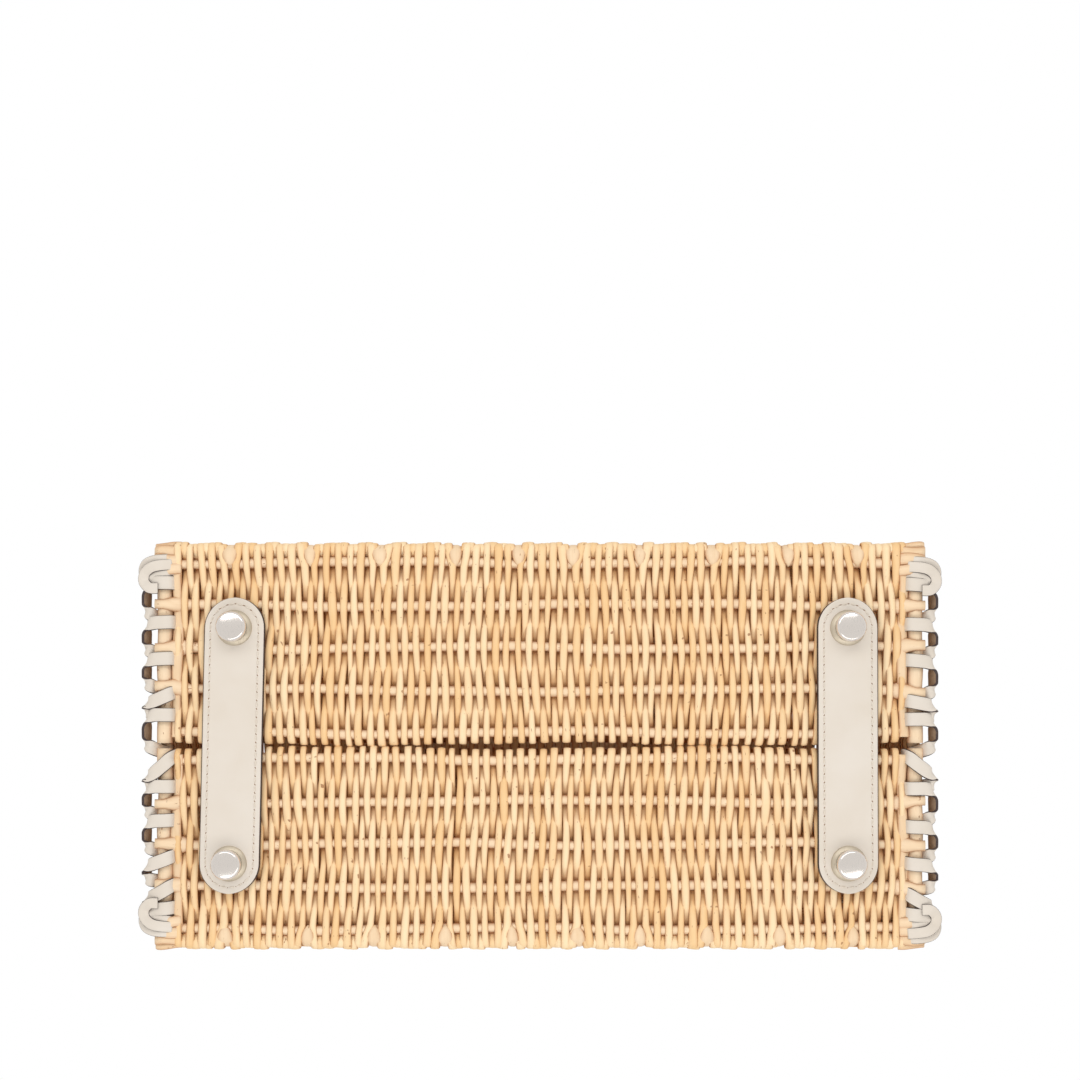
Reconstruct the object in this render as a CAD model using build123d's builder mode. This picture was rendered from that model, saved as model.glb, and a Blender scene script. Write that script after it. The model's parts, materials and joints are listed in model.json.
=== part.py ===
"""Woven willow box bag with a hinged lid, in millimetres.

The bag stands on four metal feet. +Z is up, -Y is the front and the origin lies on the ground,
midway between the feet. The base is two woven halves with a split between them. Two leather straps
bridge the split, and each strap is held by two feet. Every panel is a woven slab with willow stakes
in tunnels inside it. Leather laces bind the end rods. The lid turns at the back on two leather
straps, a leather tab drops over a turn lock at the front, and a handle swings on two rings.
"""

from build123d import *
import math
import os

os.makedirs("parts", exist_ok=True)

# ---- overall sizes ----
bag_length = 350.0  # X, over the frame rods
bag_depth = 185.0  # Y, over the front and back walls
body_height = 215.0  # from the underside of the base to the rim

# ---- woven panels and their stakes ----
panel_thickness = 7.0
panel_edge_radius = 3.4
frame_rod_diameter = 7.5
frame_rod_bend = 12.0
stake_diameter = 4.6
tunnel_clearance = 0.15
seat_gap = 0.3
split_gap = 2.0
split_stake_inset = 6.0
base_stake_count = 5
stake_web = 0.5  # left between the last base stake and the wall stakes
wall_stake_margin = 24.5
wall_stake_count = 10
wall_stake_end_inset = 0.3  # the stake ends show as knobs in the underside
side_stake_margin = 28.7
side_stake_count = 5
lid_stake_margin = 6.5
lid_stake_count = 9
lid_gap = 0.5

# ---- laces, as plain channels round the frame rods ----
lace_reach = 7.0  # how far the loops stand out past the frame rods
lace_thickness = 1.3
lace_inner_lap = 10.0
base_lace_margin = 16.5  # left free at each end of the base laces
corner_lace_inset = 11.0  # left free above the bend and below the lid
lid_lace_margin = 12.5

# ---- base straps and feet ----
strap_width = 27.5
strap_thickness = 3.0
strap_edge_radius = 0.8
foot_inset = 35.5  # from the end of the bag
foot_place = 0.44  # how far across the space between the third and fourth stakes
foot_height = 9.0
foot_base_radius = 8.1
foot_base_rim = 0.8
foot_disc_radius = 6.8
foot_waist_radius = 6.2
foot_disc_thickness = 2.6
foot_bevel = 0.7
foot_bore_depth = 5.5
foot_screw_radius = 2.0
screw_play = 0.05
screw_tip_gap = 1.0
screw_head_radius = 4.0
screw_head_height = 2.2
washer_radius = 8.0
washer_thickness = 1.2
washer_play = 0.15

# ---- leather straps that hinge the lid ----
hinge_strap_thickness = 2.6
hinge_strap_drop = 34.0  # from the rim to the stud on the wall
hinge_strap_fold = 4.5  # left free below the rim for the fold
leather_gap = 0.2
stud_head_radius = 5.0
stud_head_height = 2.4
wall_stud_head_height = 4.2
stud_shank_radius = 1.5
dome_share = 0.8  # of a stud head's height that is rounded
rove_radius = 4.5
rove_thickness = 1.4
shank_play = 0.15

# ---- turn lock ----
lock_plate_length = 34.0
lock_plate_width = 22.0
lock_plate_thickness = 1.0
lock_back_length = 30.0
lock_back_width = 16.0
lock_boss_radius = 3.5
lock_screw_offset = 8.5
lock_screw_radius = 1.1
lock_screw_head_radius = 2.2
lock_screw_head_height = 0.7
spindle_radius = 1.8
spindle_play = 0.1
spindle_passage = 3.0
collar_radius = 3.2
collar_thickness = 1.0
toggle_length = 15.5
toggle_width = 5.6
toggle_thickness = 1.8
toggle_lift = 0.3

# ---- closing tab ----
tab_border = 1.2  # beside the slot plate
tab_length = 72.0  # below the fold
tab_thickness = 2.2
tab_corner_radius = 13.0
tab_fold_drop = 3.0  # from the top of the lid to the fold
tab_home_gap = 0.3  # between the latched tab and the lock plate
tab_rest_gap = 0.4  # between the leaning tab and the toggle
lock_drop = 58.0  # from the fold to the lock
anchor_tail = 11.0  # from the studs to the end of the tab on the lid
anchor_stud_offset = 8.0
slot_end_play = 1.15
slot_side_play = 1.1
slot_plate_end = 4.9
slot_plate_side = 4.6
slot_plate_thickness = 0.8
slot_rivet_inset = 2.6  # from the end of the slot plate
slot_rivet_radius = 0.8

# ---- handle ----
handle_half_span = 62.0
handle_rise = 92.0  # from the lid to the middle of the grip
handle_bend = 44.0
grip_radius = 6.0
handle_tab_width = 20.0
handle_tab_thickness = 6.6
handle_tab_rise = 5.0
handle_taper = 20.0
ring_wire_radius = 1.5
ring_play = 0.25
ring_width = 27.0
ring_height = 15.0
ring_inner_corner = 0.9
ring_floor_gap = 0.6  # between the ring and the lid
loop_side_play = 1.0
loop_thickness = 1.8

# ---- places worked out from the sizes above ----
half_length = bag_length / 2
half_depth = bag_depth / 2
rod_radius = frame_rod_diameter / 2
stake_radius = stake_diameter / 2
tunnel_radius = stake_radius + tunnel_clearance
base_bottom = foot_height + strap_thickness
base_top = base_bottom + panel_thickness
base_middle = base_bottom + panel_thickness / 2
rim_top = base_bottom + body_height
lid_bottom = rim_top + lid_gap
lid_top = lid_bottom + panel_thickness
edge_depth = max(frame_rod_diameter, panel_thickness)
panel_half_length = half_length - edge_depth - seat_gap
side_half_depth = half_depth - edge_depth - seat_gap
wall_bottom = base_top + seat_gap
wall_middle = half_depth - panel_thickness / 2
wall_inner = half_depth - panel_thickness
side_bottom = base_bottom + edge_depth + seat_gap
side_middle = half_length - panel_thickness / 2
rod_x = half_length - rod_radius
rod_y = half_depth - rod_radius
stake_top = rim_top - panel_thickness
last_base_stake = wall_middle - 2 * tunnel_radius - stake_web
base_stake_pitch = (last_base_stake - split_stake_inset) / (base_stake_count - 1)
wall_stake_pitch = 2 * (panel_half_length - wall_stake_margin) / (wall_stake_count - 1)
side_stake_pitch = 2 * (side_half_depth - side_stake_margin) / (side_stake_count - 1)
lid_stake_pitch = 2 * (half_depth - lid_stake_margin) / (lid_stake_count - 1)
foot_x = half_length - foot_inset
foot_y = split_stake_inset + (2 + foot_place) * base_stake_pitch
foot_hole_radius = foot_screw_radius + washer_play
shank_hole_radius = stud_shank_radius + shank_play
hinge_strap_x = 4 * wall_stake_pitch
hinge_strap_out = half_depth + leather_gap + hinge_strap_thickness
hinge_stud_z = rim_top - hinge_strap_drop
hinge_stud_y = 2.5 * lid_stake_pitch
hinge_y = half_depth + leather_gap + hinge_strap_thickness / 2
hinge_z = (rim_top + lid_bottom) / 2
plate_face = half_depth + lock_plate_thickness
fold_y = plate_face + tab_home_gap + tab_thickness / 2
fold_z = lid_top - tab_fold_drop
slot_plate_face = fold_y + tab_thickness / 2 + slot_plate_thickness
toggle_back = slot_plate_face + toggle_lift
toggle_face = toggle_back + toggle_thickness
lock_z = fold_z - lock_drop
lean_reach = toggle_face + tab_rest_gap + tab_thickness / 2 - fold_y
tab_lean = math.degrees(math.asin(lean_reach / (lock_drop - toggle_length / 2)))
anchor_stud_y = 3.5 * lid_stake_pitch
slot_length = toggle_length + 2 * slot_end_play
slot_width = toggle_width + 2 * slot_side_play
slot_plate_length = slot_length + 2 * slot_plate_end
slot_plate_width = slot_width + 2 * slot_plate_side
slot_rivet_x = slot_plate_length / 2 - slot_rivet_inset
tab_width = slot_plate_length + 2 * tab_border
ring_axis_z = lid_top + ring_floor_gap + ring_wire_radius
ring_corner = ring_wire_radius + ring_inner_corner
loop_width = ring_width - 2 * ring_wire_radius - 2 * loop_side_play
ring_bar_z = ring_axis_z + ring_height
handle_top = lid_top + handle_rise
loop_stud_y = 1.5 * lid_stake_pitch
leather_on_lid = lid_top + leather_gap
base_stake_offsets = [split_stake_inset + base_stake_pitch * i for i in range(base_stake_count)]
wall_stake_xs = [wall_stake_pitch * (i - (wall_stake_count - 1) / 2) for i in range(wall_stake_count)]
side_stake_ys = [side_stake_pitch * (i - (side_stake_count - 1) / 2) for i in range(side_stake_count)]
lid_stake_ys = [lid_stake_pitch * (i - (lid_stake_count - 1) / 2) for i in range(lid_stake_count)]
sides = (("left", -1), ("right", 1))
halves = (("front", -1), ("back", 1))


def save(part, name):
    """Labels a finished piece and writes its STEP file."""
    part.label = name
    export_step(part, f"parts/{name}.step")


def bar(x_span, y_span, z_span, mode=Mode.ADD):
    """A block between two values on each axis, made in the part being built."""
    spans = (x_span, y_span, z_span)
    with Locations(tuple(sum(span) / 2 for span in spans)):
        Box(*[abs(span[1] - span[0]) for span in spans], mode=mode)


def pin_x(y, z, radius, start, end, mode=Mode.ADD):
    """A cylinder along X, made in the part being built."""
    with Locations(((start + end) / 2, y, z)):
        Cylinder(radius, abs(end - start), rotation=(0, 90, 0), mode=mode)


def pin_y(x, z, radius, start, end, mode=Mode.ADD):
    """A cylinder along Y, made in the part being built."""
    with Locations((x, (start + end) / 2, z)):
        Cylinder(radius, abs(end - start), rotation=(90, 0, 0), mode=mode)


def pin_z(x, y, radius, start, end, mode=Mode.ADD):
    """A cylinder along Z, made in the part being built."""
    with Locations((x, y, (start + end) / 2)):
        Cylinder(radius, abs(end - start), mode=mode)


# ---- base: two woven halves, their stakes and the knobs' holes ----
def base_weave(sign):
    with BuildPart() as weave:
        bar(
            (-panel_half_length, panel_half_length),
            (sign * split_gap / 2, sign * half_depth),
            (base_bottom, base_top),
        )
        fillet(weave.edges().filter_by(Axis.X), panel_edge_radius)
        for offset_y in base_stake_offsets:
            pin_x(
                sign * offset_y,
                base_middle,
                tunnel_radius,
                -panel_half_length,
                panel_half_length,
                Mode.SUBTRACT,
            )
        for x in wall_stake_xs:
            pin_z(x, sign * wall_middle, tunnel_radius, base_bottom, base_top, Mode.SUBTRACT)
        for x in (-foot_x, foot_x):
            pin_z(x, sign * foot_y, foot_hole_radius, base_bottom, base_top, Mode.SUBTRACT)
    return weave.part


def base_stakes(sign):
    with BuildPart() as stakes:
        for offset_y in base_stake_offsets:
            pin_x(sign * offset_y, base_middle, stake_radius, -panel_half_length, panel_half_length)
    return stakes.part


# ---- front and back walls ----
def wall_weave(sign):
    with BuildPart() as weave:
        bar(
            (-panel_half_length, panel_half_length),
            (sign * wall_inner, sign * half_depth),
            (wall_bottom, rim_top),
        )
        fillet(weave.edges().filter_by(Axis.X).group_by(Axis.Z)[-1], panel_edge_radius)
        for x in wall_stake_xs:
            pin_z(x, sign * wall_middle, tunnel_radius, wall_bottom, stake_top, Mode.SUBTRACT)
        if sign > 0:
            for x in (-hinge_strap_x, hinge_strap_x):
                pin_y(x, hinge_stud_z, shank_hole_radius, wall_inner, half_depth, Mode.SUBTRACT)
        else:
            pin_y(0, lock_z, spindle_passage, -wall_inner, -half_depth, Mode.SUBTRACT)
            for x in (-lock_screw_offset, lock_screw_offset):
                hole = lock_screw_radius + shank_play
                pin_y(x, lock_z, hole, -wall_inner, -half_depth, Mode.SUBTRACT)
    return weave.part


def wall_stakes(sign):
    with BuildPart() as stakes:
        for x in wall_stake_xs:
            pin_z(x, sign * wall_middle, stake_radius, base_bottom + wall_stake_end_inset, stake_top)
    return stakes.part


# ---- end panels ----
def side_weave(sign):
    x_span = (sign * (half_length - panel_thickness), sign * half_length)
    with BuildPart() as weave:
        bar(x_span, (-side_half_depth, side_half_depth), (side_bottom, rim_top))
        lower_corners = weave.edges().filter_by(Axis.X).group_by(Axis.Z)[0]
        fillet(lower_corners, frame_rod_bend + rod_radius - edge_depth - seat_gap)
        for y in side_stake_ys:
            pin_z(sign * side_middle, y, tunnel_radius, side_bottom, stake_top, Mode.SUBTRACT)
    return weave.part


def side_stakes(sign):
    with BuildPart() as stakes:
        for y in side_stake_ys:
            pin_z(sign * side_middle, y, stake_radius, side_bottom, stake_top)
    return stakes.part


def frame_rod(x_sign, y_sign):
    start = (x_sign * rod_x, y_sign * split_gap / 2, base_bottom + rod_radius)
    corner = (x_sign * rod_x, y_sign * rod_y, base_bottom + rod_radius)
    end = (x_sign * rod_x, y_sign * rod_y, rim_top)
    with BuildPart() as rod:
        with BuildLine():
            FilletPolyline(start, corner, end, radius=frame_rod_bend)
        with BuildSketch(Plane(origin=start, z_dir=(0, y_sign, 0))):
            Circle(rod_radius)
        sweep()
    return rod.part


# ---- laces: a channel round the outside of a rod, open towards the panel ----
def lace_profile(sign, rod_height, lap_sign, lap_near=rod_radius + seat_gap):
    """Faces of the channel in the XZ plane; the long lap lies on the lap_sign side of the rod."""
    outer = half_length + lace_reach
    near = rod_radius + seat_gap
    far = near + lace_thickness
    lap_far = lap_near + lace_thickness
    lap = half_length - lace_inner_lap
    points = [
        (lap, rod_height + lap_sign * lap_near),
        (outer - lace_thickness, rod_height + lap_sign * lap_near),
        (outer - lace_thickness, rod_height - lap_sign * near),
        (half_length + seat_gap, rod_height - lap_sign * near),
        (half_length + seat_gap, rod_height - lap_sign * far),
        (outer, rod_height - lap_sign * far),
        (outer, rod_height + lap_sign * lap_far),
        (lap, rod_height + lap_sign * lap_far),
    ]
    return [(sign * x, height) for x, height in points]


def end_lace(sign, rod_height, lap_sign, margin, lap_near):
    with BuildPart() as lace:
        with BuildSketch(Plane.XZ):
            with BuildLine():
                Polyline(*lace_profile(sign, rod_height, lap_sign, lap_near), close=True)
            make_face()
        extrude(amount=half_depth - margin, both=True)
    return lace.part


def corner_lace(x_sign, y_sign):
    low = side_bottom + corner_lace_inset
    high = lid_bottom - corner_lace_inset
    with BuildPart() as lace:
        with BuildSketch(Plane.XY.offset(low)):
            with BuildLine():
                Polyline(*lace_profile(x_sign, y_sign * rod_y, y_sign), close=True)
            make_face()
        extrude(amount=high - low)
    return lace.part


# ---- base straps, feet and what fastens them ----
def base_strap(sign):
    with BuildPart() as strap:
        with BuildSketch(Plane.XY.offset(foot_height)):
            with Locations((sign * foot_x, 0)):
                SlotCenterToCenter(2 * foot_y, strap_width, rotation=90)
        extrude(amount=strap_thickness)
        fillet(strap.faces().sort_by(Axis.Z)[0].edges(), strap_edge_radius)
        for y in (-foot_y, foot_y):
            pin_z(sign * foot_x, y, foot_hole_radius, foot_height, base_bottom, Mode.SUBTRACT)
    return strap.part


with BuildPart() as foot:
    disc_top = foot_disc_thickness
    waist_top = disc_top + foot_disc_radius - foot_waist_radius
    rim_bottom = foot_height - foot_base_rim
    with BuildSketch(Plane.XZ):
        with BuildLine():
            Polyline(
                (foot_waist_radius, waist_top),
                (foot_disc_radius, disc_top),
                (foot_disc_radius, foot_bevel),
                (foot_disc_radius - foot_bevel, 0),
                (0, 0),
                (0, foot_height),
                (foot_base_radius, foot_height),
                (foot_base_radius, rim_bottom),
            )
            TangentArc(
                (foot_waist_radius, waist_top), (foot_base_radius, rim_bottom), tangent=(0, 1)
            )
        make_face()
    revolve(axis=Axis.Z)
    bore_end = foot_height - foot_bore_depth
    pin_z(0, 0, foot_screw_radius + screw_play, bore_end, foot_height, Mode.SUBTRACT)

foot_places = [(x, y) for x in (-foot_x, foot_x) for y in (-foot_y, foot_y)]

with BuildPart() as foot_washers:
    for x, y in foot_places:
        pin_z(x, y, washer_radius, base_top, base_top + washer_thickness)
        pin_z(x, y, foot_hole_radius, base_top, base_top + washer_thickness, Mode.SUBTRACT)

with BuildPart() as foot_screws:
    head_bottom = base_top + washer_thickness
    for x, y in foot_places:
        pin_z(x, y, screw_head_radius, head_bottom, head_bottom + screw_head_height)
        pin_z(x, y, foot_screw_radius, foot_height - foot_bore_depth + screw_tip_gap, head_bottom)
    head_rims = foot_screws.edges().filter_by(GeomType.CIRCLE).group_by(Axis.Z)[-1]
    fillet(head_rims, screw_head_height / 3)


# ---- hinge straps, split at the line where they fold ----
def hinge_strap_on_wall(sign):
    x = sign * hinge_strap_x
    half_width = strap_width / 2
    with BuildPart() as strap:
        with BuildSketch(Plane.XZ.offset(-(half_depth + leather_gap))):
            with Locations((x, hinge_stud_z)):
                Circle(half_width)
            straight = rim_top - hinge_strap_fold - hinge_stud_z
            with Locations((x, hinge_stud_z + straight / 2)):
                Rectangle(strap_width, straight)
        extrude(amount=-hinge_strap_thickness)
        pin_y(x, hinge_stud_z, shank_hole_radius, half_depth, hinge_strap_out, Mode.SUBTRACT)
    return strap.part


def hinge_strap_on_lid(sign):
    x = sign * hinge_strap_x
    inner_bend = hinge_strap_thickness / 2
    top = leather_on_lid + hinge_strap_thickness
    with BuildPart() as strap:
        bar((x - strap_width / 2, x + strap_width / 2), (hinge_stud_y, hinge_strap_out), (hinge_z, top))
        outer_edge = strap.edges().filter_by(Axis.X).group_by(Axis.Z)[-1].sort_by(Axis.Y)[-1]
        fillet(outer_edge, inner_bend + hinge_strap_thickness - leather_gap)
        bar(
            (x - strap_width, x + strap_width),
            (0, half_depth + leather_gap),
            (0, leather_on_lid),
            Mode.SUBTRACT,
        )
        pin_z(x, hinge_stud_y, strap_width / 2, leather_on_lid, top)
        pin_z(x, hinge_stud_y, shank_hole_radius, leather_on_lid, top, Mode.SUBTRACT)
        bar((x - strap_width, x + strap_width), (0, 2 * half_depth), (0, lid_bottom), Mode.SUBTRACT)
    return strap.part


# ---- studs: domed head, shank and, inside the bag, a rove ----
with BuildPart() as wall_studs:
    head_face = hinge_strap_out + wall_stud_head_height
    for sign in (-1, 1):
        pin_y(sign * hinge_strap_x, hinge_stud_z, stud_head_radius, hinge_strap_out, head_face)
    domes = wall_studs.edges().filter_by(GeomType.CIRCLE).group_by(Axis.Y)[-1]
    fillet(domes, wall_stud_head_height * dome_share)
    shank_end = wall_inner - rove_thickness
    for sign in (-1, 1):
        pin_y(sign * hinge_strap_x, hinge_stud_z, stud_shank_radius, shank_end, hinge_strap_out)

with BuildPart() as wall_stud_roves:
    for sign in (-1, 1):
        place = (sign * hinge_strap_x, hinge_stud_z)
        pin_y(*place, rove_radius, wall_inner - rove_thickness, wall_inner)
        pin_y(*place, shank_hole_radius, wall_inner - rove_thickness, wall_inner, Mode.SUBTRACT)

lid_stud_places = [(sign * hinge_strap_x, hinge_stud_y, hinge_strap_thickness) for sign in (-1, 1)]
lid_stud_places += [(sign * anchor_stud_offset, -anchor_stud_y, tab_thickness) for sign in (-1, 1)]
lid_stud_places += [
    (x_sign * handle_half_span, y_sign * loop_stud_y, loop_thickness)
    for x_sign in (-1, 1)
    for y_sign in (-1, 1)
]

with BuildPart() as lid_studs:
    for x, y, leather in lid_stud_places:
        face = leather_on_lid + leather
        pin_z(x, y, stud_head_radius, face, face + stud_head_height)
    tops = [head.edges().sort_by(Axis.Z)[-1] for head in lid_studs.solids()]
    fillet(tops, stud_head_height * dome_share)
    for x, y, leather in lid_stud_places:
        pin_z(x, y, stud_shank_radius, lid_bottom - rove_thickness, leather_on_lid + leather)

with BuildPart() as lid_stud_roves:
    for x, y, _ in lid_stud_places:
        pin_z(x, y, rove_radius, lid_bottom - rove_thickness, lid_bottom)
        pin_z(x, y, shank_hole_radius, lid_bottom - rove_thickness, lid_bottom, Mode.SUBTRACT)

# ---- lid ----
with BuildPart() as lid_weave:
    bar((-panel_half_length, panel_half_length), (-half_depth, half_depth), (lid_bottom, lid_top))
    fillet(lid_weave.edges().filter_by(Axis.X), panel_edge_radius)
    for y in lid_stake_ys:
        pin_x(
            y,
            (lid_bottom + lid_top) / 2,
            tunnel_radius,
            -panel_half_length,
            panel_half_length,
            Mode.SUBTRACT,
        )
    for x, y, _ in lid_stud_places:
        pin_z(x, y, shank_hole_radius, lid_bottom, lid_top, Mode.SUBTRACT)

with BuildPart() as lid_stakes:
    for y in lid_stake_ys:
        pin_x(y, (lid_bottom + lid_top) / 2, stake_radius, -panel_half_length, panel_half_length)


def lid_end_rod(sign):
    with BuildPart() as rod:
        pin_y(sign * rod_x, lid_bottom + rod_radius, rod_radius, -half_depth, half_depth)
    return rod.part


# ---- turn lock ----
with BuildPart() as lock_plate:
    with BuildSketch(Plane.XZ.offset(half_depth)):
        with Locations((0, lock_z)):
            RectangleRounded(lock_plate_length, lock_plate_width, lock_plate_width / 4)
    extrude(amount=lock_plate_thickness)
    pin_y(0, lock_z, lock_boss_radius, -plate_face, -slot_plate_face)
    pin_y(0, lock_z, spindle_radius + spindle_play, -half_depth, -slot_plate_face, Mode.SUBTRACT)
    for x in (-lock_screw_offset, lock_screw_offset):
        pin_y(x, lock_z, lock_screw_radius + screw_play, -half_depth, -plate_face, Mode.SUBTRACT)

with BuildPart() as lock_back_plate:
    with BuildSketch(Plane.XZ.offset(wall_inner)):
        with Locations((0, lock_z)):
            RectangleRounded(lock_back_length, lock_back_width, lock_back_width / 4)
    extrude(amount=-lock_plate_thickness)
    back_face = wall_inner - lock_plate_thickness
    pin_y(0, lock_z, spindle_radius + spindle_play, -wall_inner, -back_face, Mode.SUBTRACT)
    for x in (-lock_screw_offset, lock_screw_offset):
        pin_y(x, lock_z, lock_screw_radius + shank_play, -wall_inner, -back_face, Mode.SUBTRACT)

with BuildPart() as lock_screws:
    for x in (-lock_screw_offset, lock_screw_offset):
        pin_y(x, lock_z, lock_screw_head_radius, -back_face, -back_face + lock_screw_head_height)
        pin_y(x, lock_z, lock_screw_radius, -back_face, -plate_face)

with BuildPart() as toggle:
    with BuildSketch(Plane.XZ.offset(toggle_back)):
        with Locations((0, lock_z)):
            SlotOverall(toggle_length, toggle_width)
    extrude(amount=toggle_thickness)
    fillet(toggle.faces().sort_by(Axis.Y)[0].edges(), toggle_thickness / 4)
    pin_y(0, lock_z, spindle_radius, -toggle_back, -back_face + toggle_lift + collar_thickness)

with BuildPart() as toggle_collar:
    collar_back = -back_face + toggle_lift
    pin_y(0, lock_z, collar_radius, collar_back, collar_back + collar_thickness)
    pin_y(0, lock_z, spindle_radius + screw_play, collar_back, collar_back + collar_thickness, Mode.SUBTRACT)

# ---- closing tab: drawn hanging straight down, then leant out about its fold ----
fold_axis = Axis((0, -fold_y, fold_z), (1, 0, 0))
tab_inner = fold_y - tab_thickness / 2
tab_outer = fold_y + tab_thickness / 2

with BuildPart() as closing_tab:
    with BuildSketch(Plane.XZ.offset(tab_inner)) as tab_face:
        with Locations((0, fold_z - tab_length / 2)):
            Rectangle(tab_width, tab_length)
        fillet(tab_face.vertices().group_by(Axis.Z)[0], tab_corner_radius)
    extrude(amount=tab_thickness)
    pin_x(-fold_y, fold_z, tab_thickness / 2, -tab_width / 2, tab_width / 2)
    with BuildSketch(Plane.XZ.offset(tab_inner)):
        with Locations((0, lock_z)):
            SlotOverall(slot_length, slot_width)
    extrude(amount=tab_thickness, mode=Mode.SUBTRACT)
    for x in (-slot_rivet_x, slot_rivet_x):
        pin_y(x, lock_z, slot_rivet_radius + screw_play, -tab_inner, -tab_outer, Mode.SUBTRACT)

with BuildPart() as slot_plate:
    with BuildSketch(Plane.XZ.offset(tab_outer)):
        with Locations((0, lock_z)):
            RectangleRounded(slot_plate_length, slot_plate_width, slot_plate_width / 4)
            SlotOverall(slot_length, slot_width, mode=Mode.SUBTRACT)
    extrude(amount=slot_plate_thickness)
    for x in (-slot_rivet_x, slot_rivet_x):
        pin_y(x, lock_z, slot_rivet_radius + screw_play, -tab_outer, -slot_plate_face, Mode.SUBTRACT)

with BuildPart() as slot_rivets:
    for x in (-slot_rivet_x, slot_rivet_x):
        pin_y(x, lock_z, slot_rivet_radius, -tab_inner, -slot_plate_face)

with BuildPart() as tab_anchor:
    anchor_top = leather_on_lid + tab_thickness
    anchor_foot = fold_z + tab_thickness / 2 + tab_home_gap
    anchor_end = anchor_stud_y - anchor_tail
    bar((-tab_width / 2, tab_width / 2), (-anchor_end, -tab_outer), (anchor_foot, anchor_top))
    front_edge = tab_anchor.edges().filter_by(Axis.X).group_by(Axis.Z)[-1].sort_by(Axis.Y)[0]
    fillet(front_edge, tab_thickness + leather_gap)
    bar((-tab_width, tab_width), (-tab_inner, 0), (anchor_foot, leather_on_lid), Mode.SUBTRACT)
    back_corners = tab_anchor.edges().filter_by(Axis.Z).group_by(Axis.Y)[-1]
    fillet(back_corners, tab_corner_radius / 2)
    for x in (-anchor_stud_offset, anchor_stud_offset):
        pin_z(x, -anchor_stud_y, shank_hole_radius, leather_on_lid, anchor_top, Mode.SUBTRACT)


# ---- handle loops, rings and handle ----
def handle_loop(sign):
    strip_top = leather_on_lid + loop_thickness
    inner_radius = ring_wire_radius + ring_play
    strip_half = loop_stud_y + loop_width / 2
    with BuildPart() as loop:
        with BuildSketch(Plane.YZ.offset(sign * handle_half_span - loop_width / 2)):
            with Locations((0, (leather_on_lid + strip_top) / 2)):
                Rectangle(2 * strip_half, loop_thickness)
            with Locations((0, ring_axis_z)):
                Circle(inner_radius + loop_thickness)
                Circle(inner_radius, mode=Mode.SUBTRACT)
            with Locations((0, ring_axis_z - inner_radius)):
                Rectangle(2 * inner_radius, 2 * inner_radius, mode=Mode.SUBTRACT)
            with Locations((0, lid_bottom)):
                Rectangle(2 * strip_half, 2 * (leather_on_lid - lid_bottom), mode=Mode.SUBTRACT)
        extrude(amount=loop_width)
        fillet(loop.edges().filter_by(Axis.Z).group_by(Axis.Y)[0], loop_width / 2 - seat_gap)
        fillet(loop.edges().filter_by(Axis.Z).group_by(Axis.Y)[-1], loop_width / 2 - seat_gap)
        for y in (-loop_stud_y, loop_stud_y):
            pin_z(sign * handle_half_span, y, shank_hole_radius, lid_top, strip_top, Mode.SUBTRACT)
    return loop.part


with BuildPart() as handle_ring:
    with BuildLine(Plane.XZ) as ring_line:
        FilletPolyline(
            (-ring_width / 2, 0),
            (ring_width / 2, 0),
            (ring_width / 2, ring_height),
            (-ring_width / 2, ring_height),
            radius=ring_corner,
            close=True,
        )
    with BuildSketch(Plane(origin=ring_line.line @ 0, z_dir=ring_line.line % 0)):
        Circle(ring_wire_radius)
    sweep()

with BuildPart() as handle:
    knee = ring_bar_z + handle_tab_rise + handle_taper
    arch = [
        (-handle_half_span, 0, knee),
        (-handle_half_span, 0, handle_top),
        (handle_half_span, 0, handle_top),
        (handle_half_span, 0, knee),
    ]
    with BuildLine():
        FilletPolyline(*arch, radius=handle_bend)
    with BuildSketch(Plane.XY.offset(knee).move(Location((-handle_half_span, 0, 0)))):
        Circle(grip_radius)
    sweep()
    for sign in (-1, 1):
        neck = Plane((sign * handle_half_span, 0, ring_bar_z + handle_tab_rise))
        with BuildSketch(neck):
            RectangleRounded(handle_tab_width, handle_tab_thickness, handle_tab_thickness / 3)
        with BuildSketch(neck.offset(handle_taper)):
            Circle(grip_radius)
        loft()
        with BuildSketch(neck):
            RectangleRounded(handle_tab_width, handle_tab_thickness, handle_tab_thickness / 3)
        extrude(amount=-handle_tab_rise)
        ends = [sign * handle_half_span + half * handle_tab_width / 2 for half in (-1, 1)]
        pin_x(0, ring_bar_z, handle_tab_thickness / 2, *ends)
        pin_x(0, ring_bar_z, ring_wire_radius + ring_play, *ends, Mode.SUBTRACT)


# ---- every piece is written under its own name ----
for half, y_sign in halves:
    save(base_weave(y_sign), f"{half}_base_weave")
    save(base_stakes(y_sign), f"{half}_base_stakes")
    save(wall_weave(y_sign), f"{half}_wall_weave")
    save(wall_stakes(y_sign), f"{half}_wall_stakes")
    for side, x_sign in sides:
        save(frame_rod(x_sign, y_sign), f"{half}_{side}_frame_rod")
        save(corner_lace(x_sign, y_sign), f"{half}_{side}_corner_lace")
        foot_place = Pos(x_sign * foot_x, y_sign * foot_y, 0)
        save(foot_place * foot.part, f"{half}_{side}_foot")

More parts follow.
